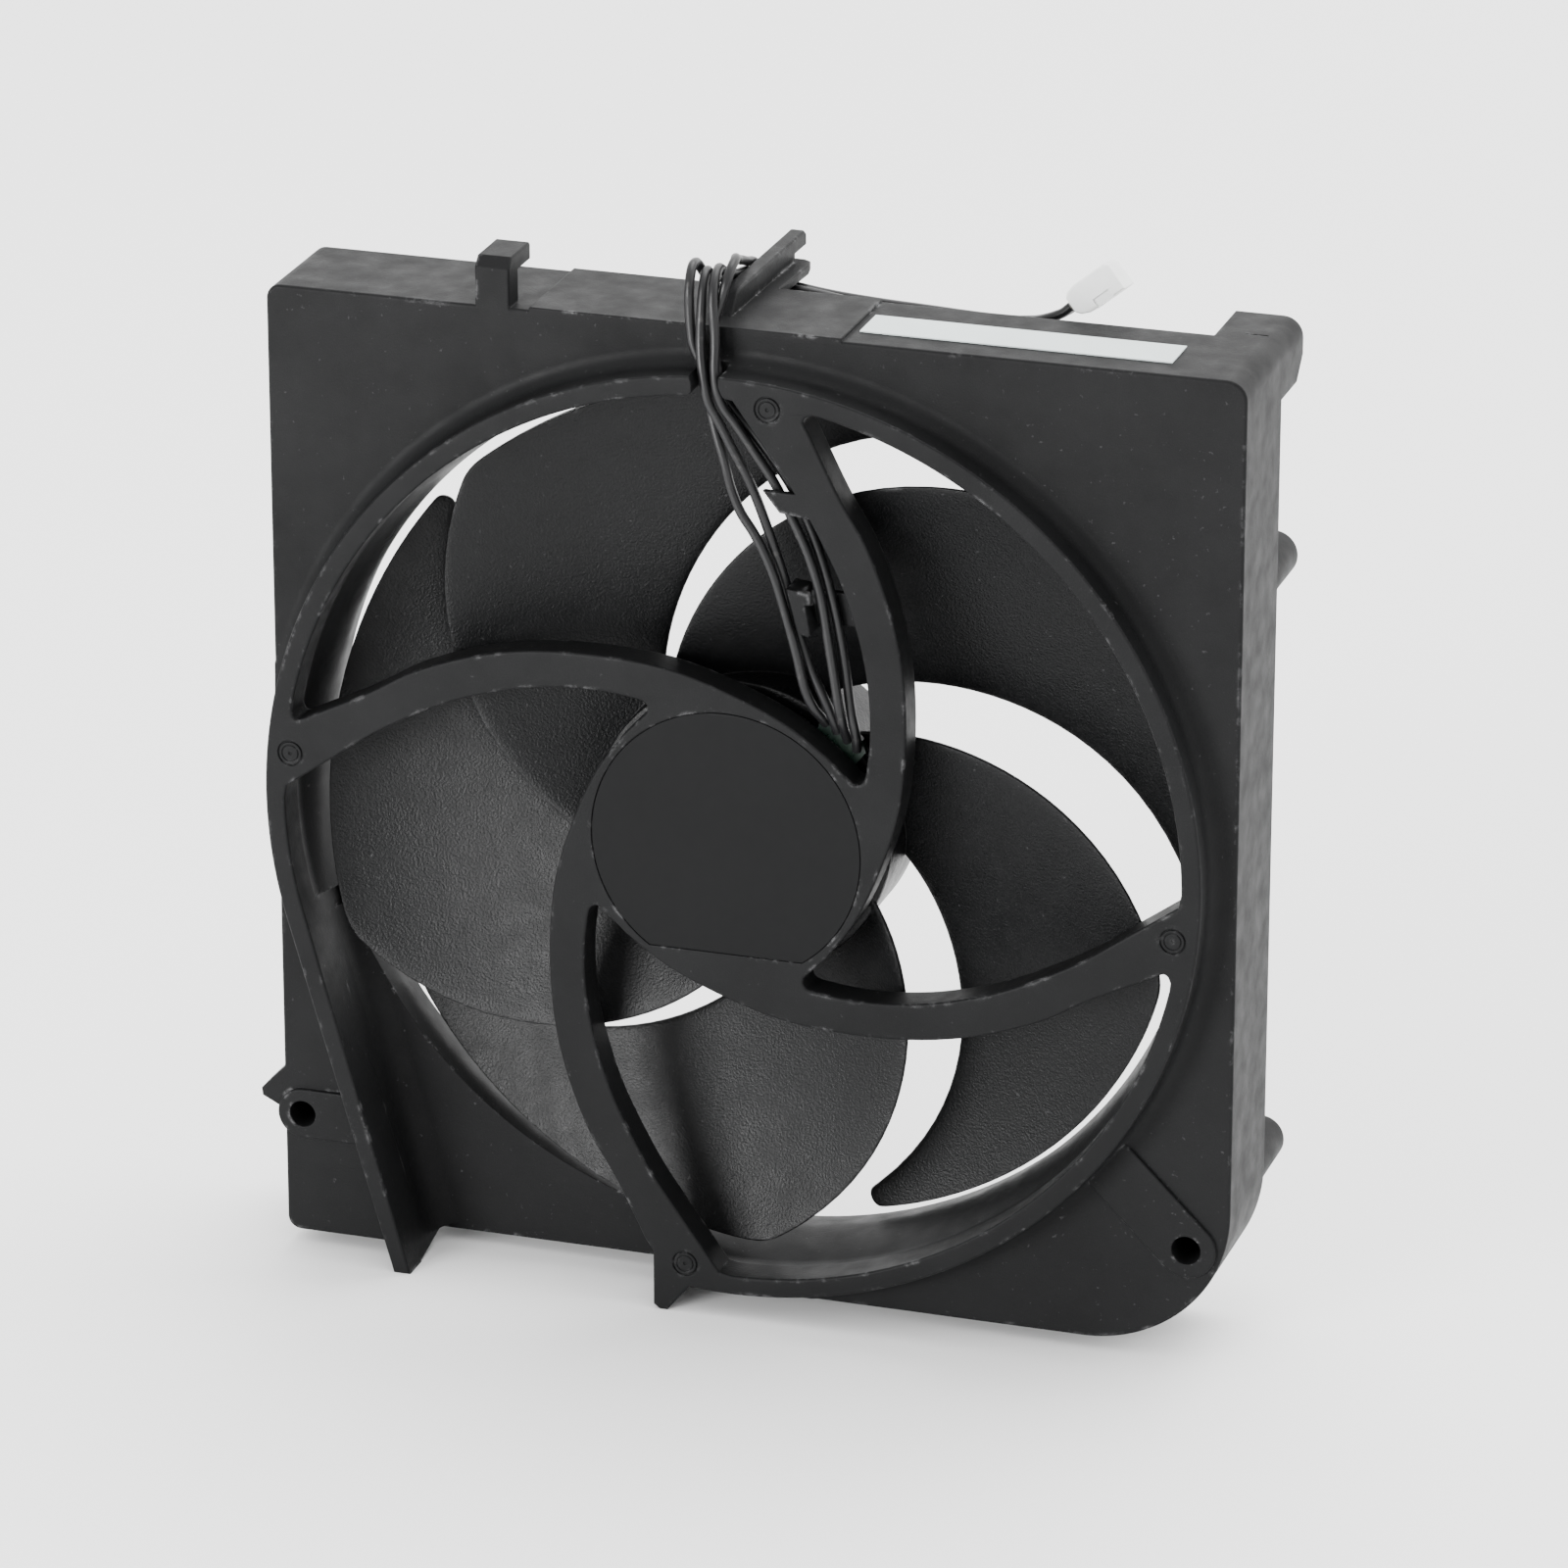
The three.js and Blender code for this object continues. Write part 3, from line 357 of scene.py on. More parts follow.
def multiply(tree, a, b):
    made = node(tree, "ShaderNodeMath", operation="MULTIPLY", use_clamp=True)
    tree.links.new(a, made.inputs[0])
    tree.links.new(b, made.inputs[1])
    return made.outputs[0]


def mix(tree, factor, first, second):
    made = node(tree, "ShaderNodeMix", data_type="RGBA")
    tree.links.new(factor, made.inputs["Factor"])
    for socket, value in (("A", first), ("B", second)):
        target = [s for s in made.inputs if s.name == socket and s.type == "RGBA"][0]
        if isinstance(value, tuple):
            target.default_value = (*value, 1.0)
        else:
            tree.links.new(value, target)
    return [s for s in made.outputs if s.type == "RGBA"][0]


def bump(tree, heights, normal=None):
    """Adds several bumps, each (height, strength, distance in mm), and returns the normal."""
    for height, strength, depth in heights:
        made = node(tree, "ShaderNodeBump", {"Strength": strength, "Distance": depth * MM})
        tree.links.new(height, made.inputs["Height"])
        if normal is not None:
            tree.links.new(normal, made.inputs["Normal"])
        normal = made.outputs["Normal"]
    return normal


def rounded_normal(tree, radius):
    return node(tree, "ShaderNodeBevel", {"Radius": radius * MM}, samples=6).outputs["Normal"]


def edge_mask(tree, radius, low, high):
    """1 on convex and concave edges, 0 on flat areas, by how far the rounded normal leans."""
    geometry = node(tree, "ShaderNodeNewGeometry")
    dot = node(tree, "ShaderNodeVectorMath", operation="DOT_PRODUCT")
    tree.links.new(rounded_normal(tree, radius), dot.inputs[0])
    tree.links.new(geometry.outputs["Normal"], dot.inputs[1])
    return remap(tree, dot.outputs["Value"], low, high, 0.0, 1.0)


def moulded_plastic(name, tone, roughness, shine, grain, grain_scale, wear):
    """Black moulded plastic: spark-eroded grain, faint flow mottling, pale rubbed edges and dust."""
    rubbed_tone, dust_tone = (0.26, 0.26, 0.265), (0.07, 0.07, 0.072)
    made, tree, shader = material(name)
    point = object_point(tree)
    light = tuple(c * 1.35 for c in tone)
    colour = mix(tree, remap(tree, noise(tree, point, 60, 4), 0.35, 0.65, 0, 1), tone, light)
    edge = edge_mask(tree, 0.9, 0.992, 0.86)
    rubbed = multiply(tree, edge, remap(tree, noise(tree, point, 260, 6, 0.75), 0.54, 0.70, 0, wear))
    colour = mix(tree, rubbed, colour, rubbed_tone)
    specks = remap(tree, noise(tree, point, 1500, 2), 0.70, 0.78, 0, 0.35)
    colour = mix(tree, specks, colour, dust_tone)
    shader.inputs["Specular IOR Level"].default_value = shine
    tree.links.new(colour, shader.inputs["Base Color"])
    tree.links.new(
        remap(tree, noise(tree, point, 300, 4), 0.3, 0.7, roughness - 0.06, roughness + 0.08),
        shader.inputs["Roughness"],
    )
    heights = [(noise(tree, point, grain_scale, 3), grain, 0.1), (noise(tree, point, 140, 3), 0.08, 0.08)]
    tree.links.new(bump(tree, heights, rounded_normal(tree, 0.25)), shader.inputs["Normal"])
    return made


def film(name, tone, roughness):
    """A plain vinyl or paper label: smooth, with slight waviness."""
    made, tree, shader = material(name)
    shader.inputs["Specular IOR Level"].default_value = 0.07
    point = object_point(tree)
    light = tuple(min(c * 1.08, 1.0) for c in tone)
    colour = mix(tree, remap(tree, noise(tree, point, 90, 3), 0.35, 0.65, 0, 1), tone, light)
    tree.links.new(colour, shader.inputs["Base Color"])
    tree.links.new(
        remap(tree, noise(tree, point, 500, 3), 0.3, 0.7, roughness - 0.03, roughness + 0.05),
        shader.inputs["Roughness"],
    )
    tree.links.new(
        bump(tree, [(noise(tree, point, 3500, 2), 0.05, 0.01), (noise(tree, point, 70, 2), 0.1, 0.05)]),
        shader.inputs["Normal"],
    )
    return made


def lead_sleeve():
    """Glossy black PVC insulation with rubbed pale patches."""
    made, tree, shader = material("lead_sleeve")
    point = object_point(tree)
    worn = remap(tree, noise(tree, point, 420, 5, 0.75), 0.60, 0.74, 0, 0.3)
    colour = mix(tree, worn, (0.006, 0.006, 0.0065), (0.12, 0.115, 0.11))
    shader.inputs["Specular IOR Level"].default_value = 0.28
    tree.links.new(colour, shader.inputs["Base Color"])
    tree.links.new(remap(tree, noise(tree, point, 260, 4), 0.3, 0.7, 0.30, 0.5), shader.inputs["Roughness"])
    tree.links.new(
        bump(tree, [(noise(tree, point, 1500, 3), 0.15, 0.03), (noise(tree, point, 260, 2), 0.3, 0.08)]),
        shader.inputs["Normal"],
    )
    return made


def nylon():
    """White nylon: slightly cloudy, with light that carries a little way into it."""
    made, tree, shader = material("nylon")
    point = object_point(tree)
    cloud = remap(tree, noise(tree, point, 260, 3), 0.35, 0.65, 0, 1)
    colour = mix(tree, cloud, (0.74, 0.75, 0.74), (0.82, 0.83, 0.82))
    tree.links.new(colour, shader.inputs["Base Color"])
    shader.inputs["Subsurface Weight"].default_value = 0.2
    shader.inputs["Subsurface Radius"].default_value = (0.002, 0.002, 0.0018)
    tree.links.new(remap(tree, noise(tree, point, 700, 3), 0.3, 0.7, 0.34, 0.48), shader.inputs["Roughness"])
    tree.links.new(bump(tree, [(noise(tree, point, 2500, 2), 0.08, 0.02)]), shader.inputs["Normal"])
    return made


def metal(name, tone, roughness):
    made, tree, shader = material(name)
    point = object_point(tree)
    darker = tuple(c * 0.8 for c in tone)
    colour = mix(tree, remap(tree, noise(tree, point, 400, 3), 0.35, 0.65, 0, 1), tone, darker)
    tree.links.new(colour, shader.inputs["Base Color"])
    shader.inputs["Metallic"].default_value = 1.0
    tree.links.new(
        remap(tree, noise(tree, point, 900, 4), 0.3, 0.7, roughness, roughness + 0.15),
        shader.inputs["Roughness"],
    )
    tree.links.new(bump(tree, [(noise(tree, point, 2600, 2), 0.08, 0.01)]), shader.inputs["Normal"])
    return made


def windings():
    """Enamelled copper wire: fine ridges across the coil."""
    made, tree, shader = material("windings")
    point = object_point(tree)
    wave = node(tree, "ShaderNodeTexWave", {"Scale": 900.0, "Distortion": 0.6}, bands_direction="Y")
    tree.links.new(point, wave.inputs["Vector"])
    colour = mix(tree, wave.outputs["Fac"], (0.30, 0.11, 0.04), (0.62, 0.28, 0.12))
    tree.links.new(colour, shader.inputs["Base Color"])
    shader.inputs["Metallic"].default_value = 0.85
    shader.inputs["Roughness"].default_value = 0.35
    tree.links.new(bump(tree, [(wave.outputs["Fac"], 0.6, 0.1)]), shader.inputs["Normal"])
    return made


def solder_mask():
    """Dark green lacquer on the motor's board, in patches of two tones with a slight relief."""
    made, tree, shader = material("solder_mask")
    point = object_point(tree)
    patches = remap(tree, noise(tree, point, 350, 2), 0.47, 0.53, 0, 1)
    colour = mix(tree, patches, (0.004, 0.012, 0.008), (0.006, 0.016, 0.010))
    tree.links.new(colour, shader.inputs["Base Color"])
    tree.links.new(remap(tree, noise(tree, point, 900, 2), 0.3, 0.7, 0.25, 0.4), shader.inputs["Roughness"])
    tree.links.new(bump(tree, [(noise(tree, point, 350, 2), 0.2, 0.03)]), shader.inputs["Normal"])
    return made


def floor_paint():
    made, tree, shader = material("floor_paint")
    point = object_point(tree)
    patches = remap(tree, noise(tree, point, 3, 3), 0.3, 0.7, 0, 1)
    colour = mix(tree, patches, (0.87, 0.87, 0.87), (0.9, 0.9, 0.9))
    tree.links.new(colour, shader.inputs["Base Color"])
    tree.links.new(remap(tree, noise(tree, point, 40, 3), 0.3, 0.7, 0.8, 0.9), shader.inputs["Roughness"])
    return made


def dress(piece, made):
    piece.data.materials.clear()
    piece.data.materials.append(made)


# ------------------------------------------------------------------ frame moulding

def point_on(radius, degrees):
    return arc(0, 0, radius, degrees, degrees, 1)[0]


def fin_inner(z):
    """X of the fin's inner face at a height; the face is tangent to the ring's inner circle."""
    x0, z0 = point_on(RING_INNER, FIN_DEG)
    return x0 + math.tan(math.radians(FIN_DEG - 180)) * (z0 - z)


def strut_sides():
    """The upper right window's two sides: out along the top strut, and back in along the right one."""
    outer = smooth([
        (13, -13), (16.5, -8), (20, 0), (22.2, 8), (22.8, 20), (21.5, 30), (18, 40), (14.5, 46), (10.5, 54),
    ])
    inner = quarter_turn(smooth([
        (1, 57), (6, 50), (9.5, 45), (12.3, 40), (14.7, 35), (16.4, 30), (17.6, 25), (18.2, 20), (18.2, 15),
        (17.8, 11.5),
    ]), 3)
    notch = quarter_turn(smooth([(17.75, 11.2), (17.5, 10.4), (16.9, 9.95), (16.2, 10), (15.4, 10.7)], 3), 3)
    return outer, inner + notch


def window(turns):
    outer, inner = strut_sides()
    pocket = smooth([(10.1, 54.7), (9.85, 55.3), (10.1, 55.8), (10.9, 56.15)], 3)
    return quarter_turn(outer + pocket + arc(0, 0, RING_INNER, 78, 0.6, 60) + inner, turns)


# The bottom tab's foot, as (x, z).
TAB_FOOT = [(OUTLET_RIGHT, -62.5), (-8.8, FLOOR_Z), (-7.8, FLOOR_Z), (-5.2, -59.9)]


def front_outline():
    """Ring, fin and bottom tab as one outline; the lower left window is open to the outside."""
    outer, inner = strut_sides()
    tip_x = fin_inner(FIN_TIP)
    fin = [(tip_x - FIN_WALL, FIN_TIP), (tip_x, FIN_TIP)]
    ring_inside = arc(0, 0, RING_INNER, FIN_DEG, 180.6, 12)
    tab = [(OUTLET_RIGHT, -55.3)] + TAB_FOOT
    start = math.degrees(math.atan2(-59.6, -4.9))
    return (
        arc(0, 0, RING_OUTER, start, FIN_DEG, 200)
        + fin
        + ring_inside
        + quarter_turn(inner, 2)
        + quarter_turn(outer, 2)
        + tab
    )


def front_layer():
    return slab(
        "front", front_outline(), 0, STRUT_BACK, front=0.3, back=0.12,
        holes=[window(0), window(1), window(3)],
    )


def plate_outline(draw=0.0):
    l, r, b, t = LEFT + draw, RIGHT - draw, BOTTOM + draw, TOP - draw
    tl, tr, bl, br = (max(v - draw, 0.4) for v in (1.8, 2.5, 1.7, 18.5))
    return (
        arc(r - tr, t - tr, tr, 0, 90, 8)
        + arc(l + tl, t - tl, tl, 90, 180, 8)
        + arc(l + bl, b + bl, bl, 180, 270, 8)
        + arc(r - br, b + br, br, 270, 360, 32)
    )


def ring_layer():
    foot_outer, inside_plate = RING_OUTER + RING_FOOT, PLATE_Y + 1
    foot = arc(foot_outer, PLATE_Y - RING_FOOT, RING_FOOT, 180, 90, 8)
    profile = [(RING_INNER, 3.5), (RING_OUTER, 2.8)] + foot[1:]
    profile += [(foot_outer, inside_plate), (RING_INNER, inside_plate)]
    piece = turned("ring", profile, 216)
    keep = slab("keep", plate_outline(), -1, BACK_Y)
    return combine(piece, [keep], "INTERSECT")


def bore_tool():
    front, back = PLATE_Y - 0.6, 26
    profile = [(NEAR_AXIS, front), (RING_INNER, front)] + smooth(BORE, 4)
    return turned("bore", profile + [(BORE[-1][0], back), (NEAR_AXIS, back)], 216)


def outlet_tool():
    """What the outlet takes away in front of its floor."""
    rim = arc(0, 0, 54, 257.5, FIN_DEG + 1.5, 40)
    fin_side = [point_on(RING_INNER, FIN_DEG), (fin_inner(BELOW), BELOW)]
    right_side = [(OUTLET_RIGHT, BELOW), (OUTLET_RIGHT, -55.4), (-10.3, -54.4)]
    return slab("outlet", fin_side + right_side + rim, -1, FLOOR_Y)


def shell():
    body = slab("shell", plate_outline(), PLATE_Y, BACK_Y, front=0.35, back=0.2)
    cut(body, slab("hollow", plate_outline(WALL), PLATE_Y + WALL, BACK_Y + 1))
    duct = disc("duct", DUCT_OUTER, PLATE_Y + 0.5, DUCT_BACK, 180, back=0.3)
    keep = slab("keep", plate_outline(0.2), -1, BACK_Y)
    return union(body, combine(duct, [keep], "INTERSECT"))


def fin_wall():
    root = point_on(RING_OUTER, FIN_DEG)
    tip_x = fin_inner(FIN_TIP)
    outline = [point_on(RING_INNER, FIN_DEG), root, (tip_x - FIN_WALL, FIN_TIP), (tip_x, FIN_TIP)]
    wall = slab("fin", outline, 3, FLOOR_Y + FLOOR_WALL)
    bevel = slab(
        "tip_bevel", [(2.9, FIN_TIP - 0.02), (14.5, -61.4), (14.5, -70), (2.9, -70)], -50, -36,
        place=as_side_view,
    )
    return cut(wall, bevel)


def fin_fillet():
    """Concave fillet along the fin's foot, where it meets the sunken floor."""
    radius = 3.2
    x0, z0 = point_on(RING_INNER, FIN_DEG)
    lean = math.radians(FIN_DEG - 180)
    along = Vector((math.sin(lean), 0, -math.cos(lean)))
    across = Vector((math.cos(lean), 0, math.sin(lean)))
    length = math.hypot(fin_inner(BOTTOM) - x0, BOTTOM - z0)
    hollow = arc(radius, FLOOR_Y - radius, radius, 180, 90, 10)
    profile = [(-1, FLOOR_Y - radius)] + hollow + [(radius, FLOOR_Y + 1), (-1, FLOOR_Y + 1)]

    def place(u, run, y):
        return Vector((x0, y, z0)) + across * u + along * run

    return slab("fillet", profile, 3, length, place=place)


def outlet_floor():
    floor_right, wall_right = OUTLET_RIGHT + 2.5, OUTLET_RIGHT + 2
    outline = [(-50, -28), (fin_inner(BOTTOM) - 1, BOTTOM), (floor_right, BOTTOM), (floor_right, -50)]
    wall = [(OUTLET_RIGHT, -55), (OUTLET_RIGHT, BOTTOM), (wall_right, BOTTOM), (wall_right, -55)]
    floor = slab("floor", outline, FLOOR_Y, FLOOR_Y + FLOOR_WALL)
    return union(floor, slab("outlet_wall", wall, PLATE_Y + 0.4, FLOOR_Y + 1))


def bottom_tab():
    return slab("tab", [(OUTLET_RIGHT, -56)] + TAB_FOOT + [(-4.5, -58)], 3, 8, back=0.2)


def screw_pads():
    """The two raised pads and the bosses behind them. The right pad runs up to the ring at 45 degrees."""
    pad_front, boss_front, boss_back = 4.4, PLATE_Y + 1, 13
    left = arc(*LEFT_SCREW, LEFT_BOSS, 90, 270, 24) + [(-46.5, -48.3), (-48.4, -41.7)]
    right = arc(*RIGHT_SCREW, RIGHT_BOSS, 225, 405, 32)
    reach = 19 * math.sqrt(0.5)
    right += [(x - reach, z + reach) for x, z in (right[-1], right[0])]
    pad = slab("left_pad", left, pad_front, PLATE_Y + 1.5, front=0.2)
    strip = slab("right_pad", right, pad_front, boss_front, front=0.2)
    cut(strip, disc("trim", RING_OUTER, -1, 9, 200))
    return union(
        pad, strip,
        disc("left_boss", LEFT_BOSS, boss_front, boss_back, 40, *LEFT_SCREW),
        disc("right_boss", RIGHT_BOSS, boss_front, boss_back, 40, *RIGHT_SCREW),
    )


def rear_seats():
    return [disc("standoff", 3, PLATE_Y + 1, SEAT_BACK, 48, x, z, back=0.3) for x, z in REAR_SEATS]


def rear_seat_holes():
    return [disc("seat_hole", 1.3, SEAT_BACK - 8, SEAT_BACK + 1, 24, x, z) for x, z in REAR_SEATS]


def corner_post():
    outline = [(54.5, 56.9), (RIGHT, 56.9)] + arc(RIGHT - 2.5, TOP - 2.5, 2.5, 0, 90, 8) + [(54.5, TOP)]
    post = slab("post", outline, PLATE_Y + 1, SEAT_BACK, back=0.3)
    chamfer = slab("chamfer", [(27.4, 56), (32, 60.6), (32, 56)], 50, 66, place=as_side_view)
    slit = slab("slit", [(57.9, TOP - 0.6), (60.7, TOP - 0.6), (60.7, TOP + 1), (57.9, TOP + 1)], 22.7, 22.95)
    return cut(post, chamfer, slit)


def hook_tab():
    stem = block("stem", -33.2, -28.8, PLATE_Y, 8.4, TOP - 1, 69.2, 0.3)
    cap = slab(
        "cap", [(5, 68), (12.8, 68), (12.8, 69.9), (12.5, 70.2), (6.2, 70.2), (5, 69)], -33.2, -28.8,
        front=0.25, back=0.25, place=as_side_view,
    )
    return union(stem, cap)


def raised_zone():
    """The slightly raised stretch of the top wall, around the clip."""
    outline = [(-26.3, BACK_Y), (-26.3, PLATE_Y), (13.05, PLATE_Y), (13.05, BACK_Y)]
    return slab("raised", outline, TOP - 1, TOP + RAISED, back=0.15, place=as_plan_view)


def lead_clip():
    """Fore-and-aft rib that the leads run behind, and the tongue under its back end."""
    front, back, under, root, foot = 9.07, 36.5, 65.35, 32.3, TOP - 0.3
    arm = [
        (front, foot), (front, TOP + RAISED), (front + 1.9, 66.7), (front + 2.7, 67.1), (front + 4, 67.2),
        (back - 0.8, 67.4), (back, 66.8), (back, under), (root, under), (root, foot),
    ]
    right, thickness = -2.02, 1.9
    lean = Matrix.Rotation(math.radians(-1.4), 4, "Z")

    def place(y, x, z):
        return lean @ Vector((x, y - front, z)) + Vector((right - thickness, front, 0))

    piece = slab("arm", arm, 0, thickness, front=0.25, back=0.25, place=place)
    outline = [(-3.9, 19), (0.1, 19), (0.1, BACK_Y), (0.64, 31), (0.3, 32.8), (-0.6, 33.4), (-3.4, 33.4)]
    tongue = slab("tongue", outline, 63.3, TOP + RAISED, front=0.2, back=0.2, place=as_plan_view)
    return union(piece, tongue)


def side_wedge():
    outline = [(-59.5, -38.5), (LEFT, -39.1), (-63.3, -42.4), (-63.2, -43.4), (-60.6, -44.7), (-59.5, -44.7)]
    return slab("wedge", outline, 5, 9, front=0.2, back=0.2)


def lead_hooks():
    """The small hooks on the top strut that hold the leads: a flat one above, and one on an arm below."""
    hook = [(4.8, 46.2), (6.9, 43.6), (11.6, 43), (11, 46.1)]
    arm = [(8.9, 28.9), (17.2, 28.9), (15.9, 33), (8.3, 33)]
    upright = [(7.6, 33.9), (9.1, 28.4), (10.3, 28), (10.7, 28.3), (9.7, 33.7)]
    lip = [(7.6, 33.9), (8.3, 31.9), (10.8, 32.1), (10.4, 33.6)]
    return union(
        slab("upper_hook", hook, 0, 1, front=0.15, back=0.15),
        slab("hook_arm", arm, 3.5, 4.5, back=0.15),
        slab("upright", upright, 0.4, 4.5, front=0.2),
        slab("lip", lip, 0.4, 1.3, front=0.2, back=0.1),
    )


def label_outline(draw):
    """The hub label's circle with its flat lower edge, drawn in by a clearance."""
    radius, flat = 17.25 - draw, -14.2 + draw
    half = math.degrees(math.acos(-flat / radius))
    return arc(0, 0, radius, -90 + half, 270 - half, 120)


def ejector_marks():
    """Round witness marks of the mould's ejector pins at each strut's foot."""
    outer = [(1.44, -1), (1.66, -1), (1.66, 0.22), (1.44, 0.22)]
    inner = [(0.98, -1), (1.12, -1), (1.12, 0.12), (0.98, 0.12)]
    tools = []
    for turns in range(4):
        x, z = quarter_turn([(5.4, 56.4)], turns)[0]
        tools += [turned("mark", outer, 48, x, z), turned("mark", inner, 48, x, z)]
        tools.append(disc("mark_centre", 0.22, -1, 0.12, 16, x, z))
    return tools


def lead_gap():
    """The slot through the ring that the leads pass."""
    outline = [
        (0.1, 56.8), (-0.3, 57.6), (-0.75, 58.6), (-0.75, 62.2), (-4.7, 62.2), (-4.6, 60), (-4.15, 58.7),
        (-4.15, 57.8), (-4.5, 57.2), (-5, 56.8),
    ]
    return slab("gap", outline, -1, 4.4)


def screw_holes():
    return [
        disc("hole", 1.75, 3, 11, 40, *LEFT_SCREW),
        disc("hole", 1.85, 3, 11, 40, *RIGHT_SCREW),
    ]


def housing():
    body = union(shell(), ring_layer(), screw_pads(), *rear_seats(), corner_post())
    cut(body, outlet_tool(), bore_tool())
    union(body, cut(outlet_floor(), bore_tool()), fin_wall(), cut(fin_fillet(), bore_tool()), bottom_tab())
    union(body, front_layer(), raised_zone(), hook_tab(), lead_clip(), side_wedge(), lead_hooks())
    pocket = turned("pocket", [(7, 2.2), (15.5, 2.2), (15.5, 6), (7, 6)], 96)
    boss = turned("boss", [(5.05, 3.8), (7, 3.8), (7, 4.5), (5.05, 4.5)], 96)
    cut(body, pocket)
    union(body, boss)
    cut(body, disc("seat", 5.05, 2.2, 6, 96), slab("recess", label_outline(0), -1, 0.25))
    cut(body, lead_gap(), *screw_holes(), *rear_seat_holes(), *ejector_marks())
    body.name = "fan_frame_moulding"
    return body


# ------------------------------------------------------------------ impeller

BLADES = 5
HUB_OUTER, HUB_INNER, RIM_Y, CAP_Y, HUB_BACK = 19.0, 17.05, 6.5, 18.3, 20.2
# The blades start inside the hub's wall, and their sections crowd over the last stretch before the tip.
ROOT, TIP, TIP_STRETCH = 18, 55.2, 3


def blade_edges(radius):
    """Front and back edge angles in degrees, and the back edge's Y, at a radius."""
    u = (radius - 35) / 20
    front = 163.2 - 30.7 * u + 1.68 * u ** 2 - 4.5 * u ** 3
    back = 100.5 - 32.95 * u + 1.96 * u ** 2 - 6.1 * u ** 3
    return front, back, 16.1 + 0.103 * (radius - 35)


def corner_draw(radius, size, wedge_deg):
    """How far a blade's edge draws in at a radius, by a rounded corner at the tip.

    wedge_deg is the angle between the edge and the tip's arc.
    """
    wedge = math.radians(wedge_deg)
    depth = TIP - radius
    if depth >= size * (1 + math.cos(wedge)):
        return 0.0
    return size / math.tan(wedge / 2) - math.sqrt(size ** 2 - (depth - size) ** 2) - depth / math.tan(wedge)


def blade_loop(radius, steps):
    """One blade's section at a radius: round its front face and back along the other."""
    front_deg, back_deg, back_y = blade_edges(radius)
    chord = math.radians(front_deg - back_deg) * radius
    start = corner_draw(radius, 8, 153) / chord
    end = 1 - corner_draw(radius, 1.35, 23.8) / chord
    camber, half_thickness = 0.35, 0.75
    front, back = [], []
    for i in range(steps + 1):
        even = (1 - math.cos(math.pi * i / steps)) / 2
        share = start + (end - start) * even
        y = RIM_Y + (back_y - RIM_Y) * share * (1 + camber * (1 - share))
        angle = math.radians(front_deg + (back_deg - front_deg) * share)
        half = max(half_thickness * math.sin(math.pi * i / steps) ** 0.5, 0.02)
        slope = math.atan2((back_y - RIM_Y) * (1 + camber - 2 * camber * share), chord)
        for side, row in ((-1, front), (1, back)):
            turn = angle + side * half * math.sin(slope) / radius
            row.append((radius * math.cos(turn), y + side * half * math.cos(slope), radius * math.sin(turn)))
    return front + back[::-1]


def blade(number):
    """One swept blade, skinned over its sections, with a rounded tip edge."""
    span = [ROOT + (TIP - TIP_STRETCH - ROOT) * i / 22 for i in range(23)]
    span += [TIP - TIP_STRETCH * (1 - math.sin(math.pi / 2 * i / 16)) for i in range(1, 17)]
    loops = [blade_loop(radius, 30) for radius in span]
    count = len(loops[0])
    vertices = [v for loop in loops for v in loop]
    faces = []
    for i in range(len(loops) - 1):
        for j in range(count):
            a, b = i * count + j, i * count + (j + 1) % count
            faces.append((a, b, b + count, a + count))
    last = (len(loops) - 1) * count
    for first in (0, last):
        for j in range(count // 2 - 1):
            faces.append((first + j, first + j + 1, first + count - 2 - j, first + count - 1 - j))
    turn = Matrix.Rotation(math.radians(-360 / BLADES * number), 4, "Y")
    return mesh_of("blade", [turn @ Vector(v) for v in vertices], faces)


def impeller():
    profile = [
        (HUB_INNER, RIM_Y + 0.35), (HUB_INNER + 0.12, RIM_Y + 0.1), (HUB_INNER + 0.35, RIM_Y),
        (HUB_OUTER - 0.5, RIM_Y), (HUB_OUTER - 0.15, RIM_Y + 0.15), (HUB_OUTER, RIM_Y + 0.5),
        (HUB_OUTER, HUB_BACK - 1), (HUB_OUTER - 0.29, HUB_BACK - 0.29), (HUB_OUTER - 1, HUB_BACK),
        (NEAR_AXIS, HUB_BACK), (NEAR_AXIS, CAP_Y), (HUB_INNER, CAP_Y),
    ]
    body = turned("hub", profile, 144)
    for number in range(BLADES):
        union(body, blade(number))
    cut(body, disc("clear", HUB_INNER, RIM_Y - 1, CAP_Y, 144))
    body.name = "fan_impeller_moulding"
    return body


# ------------------------------------------------------------------ leads and plug

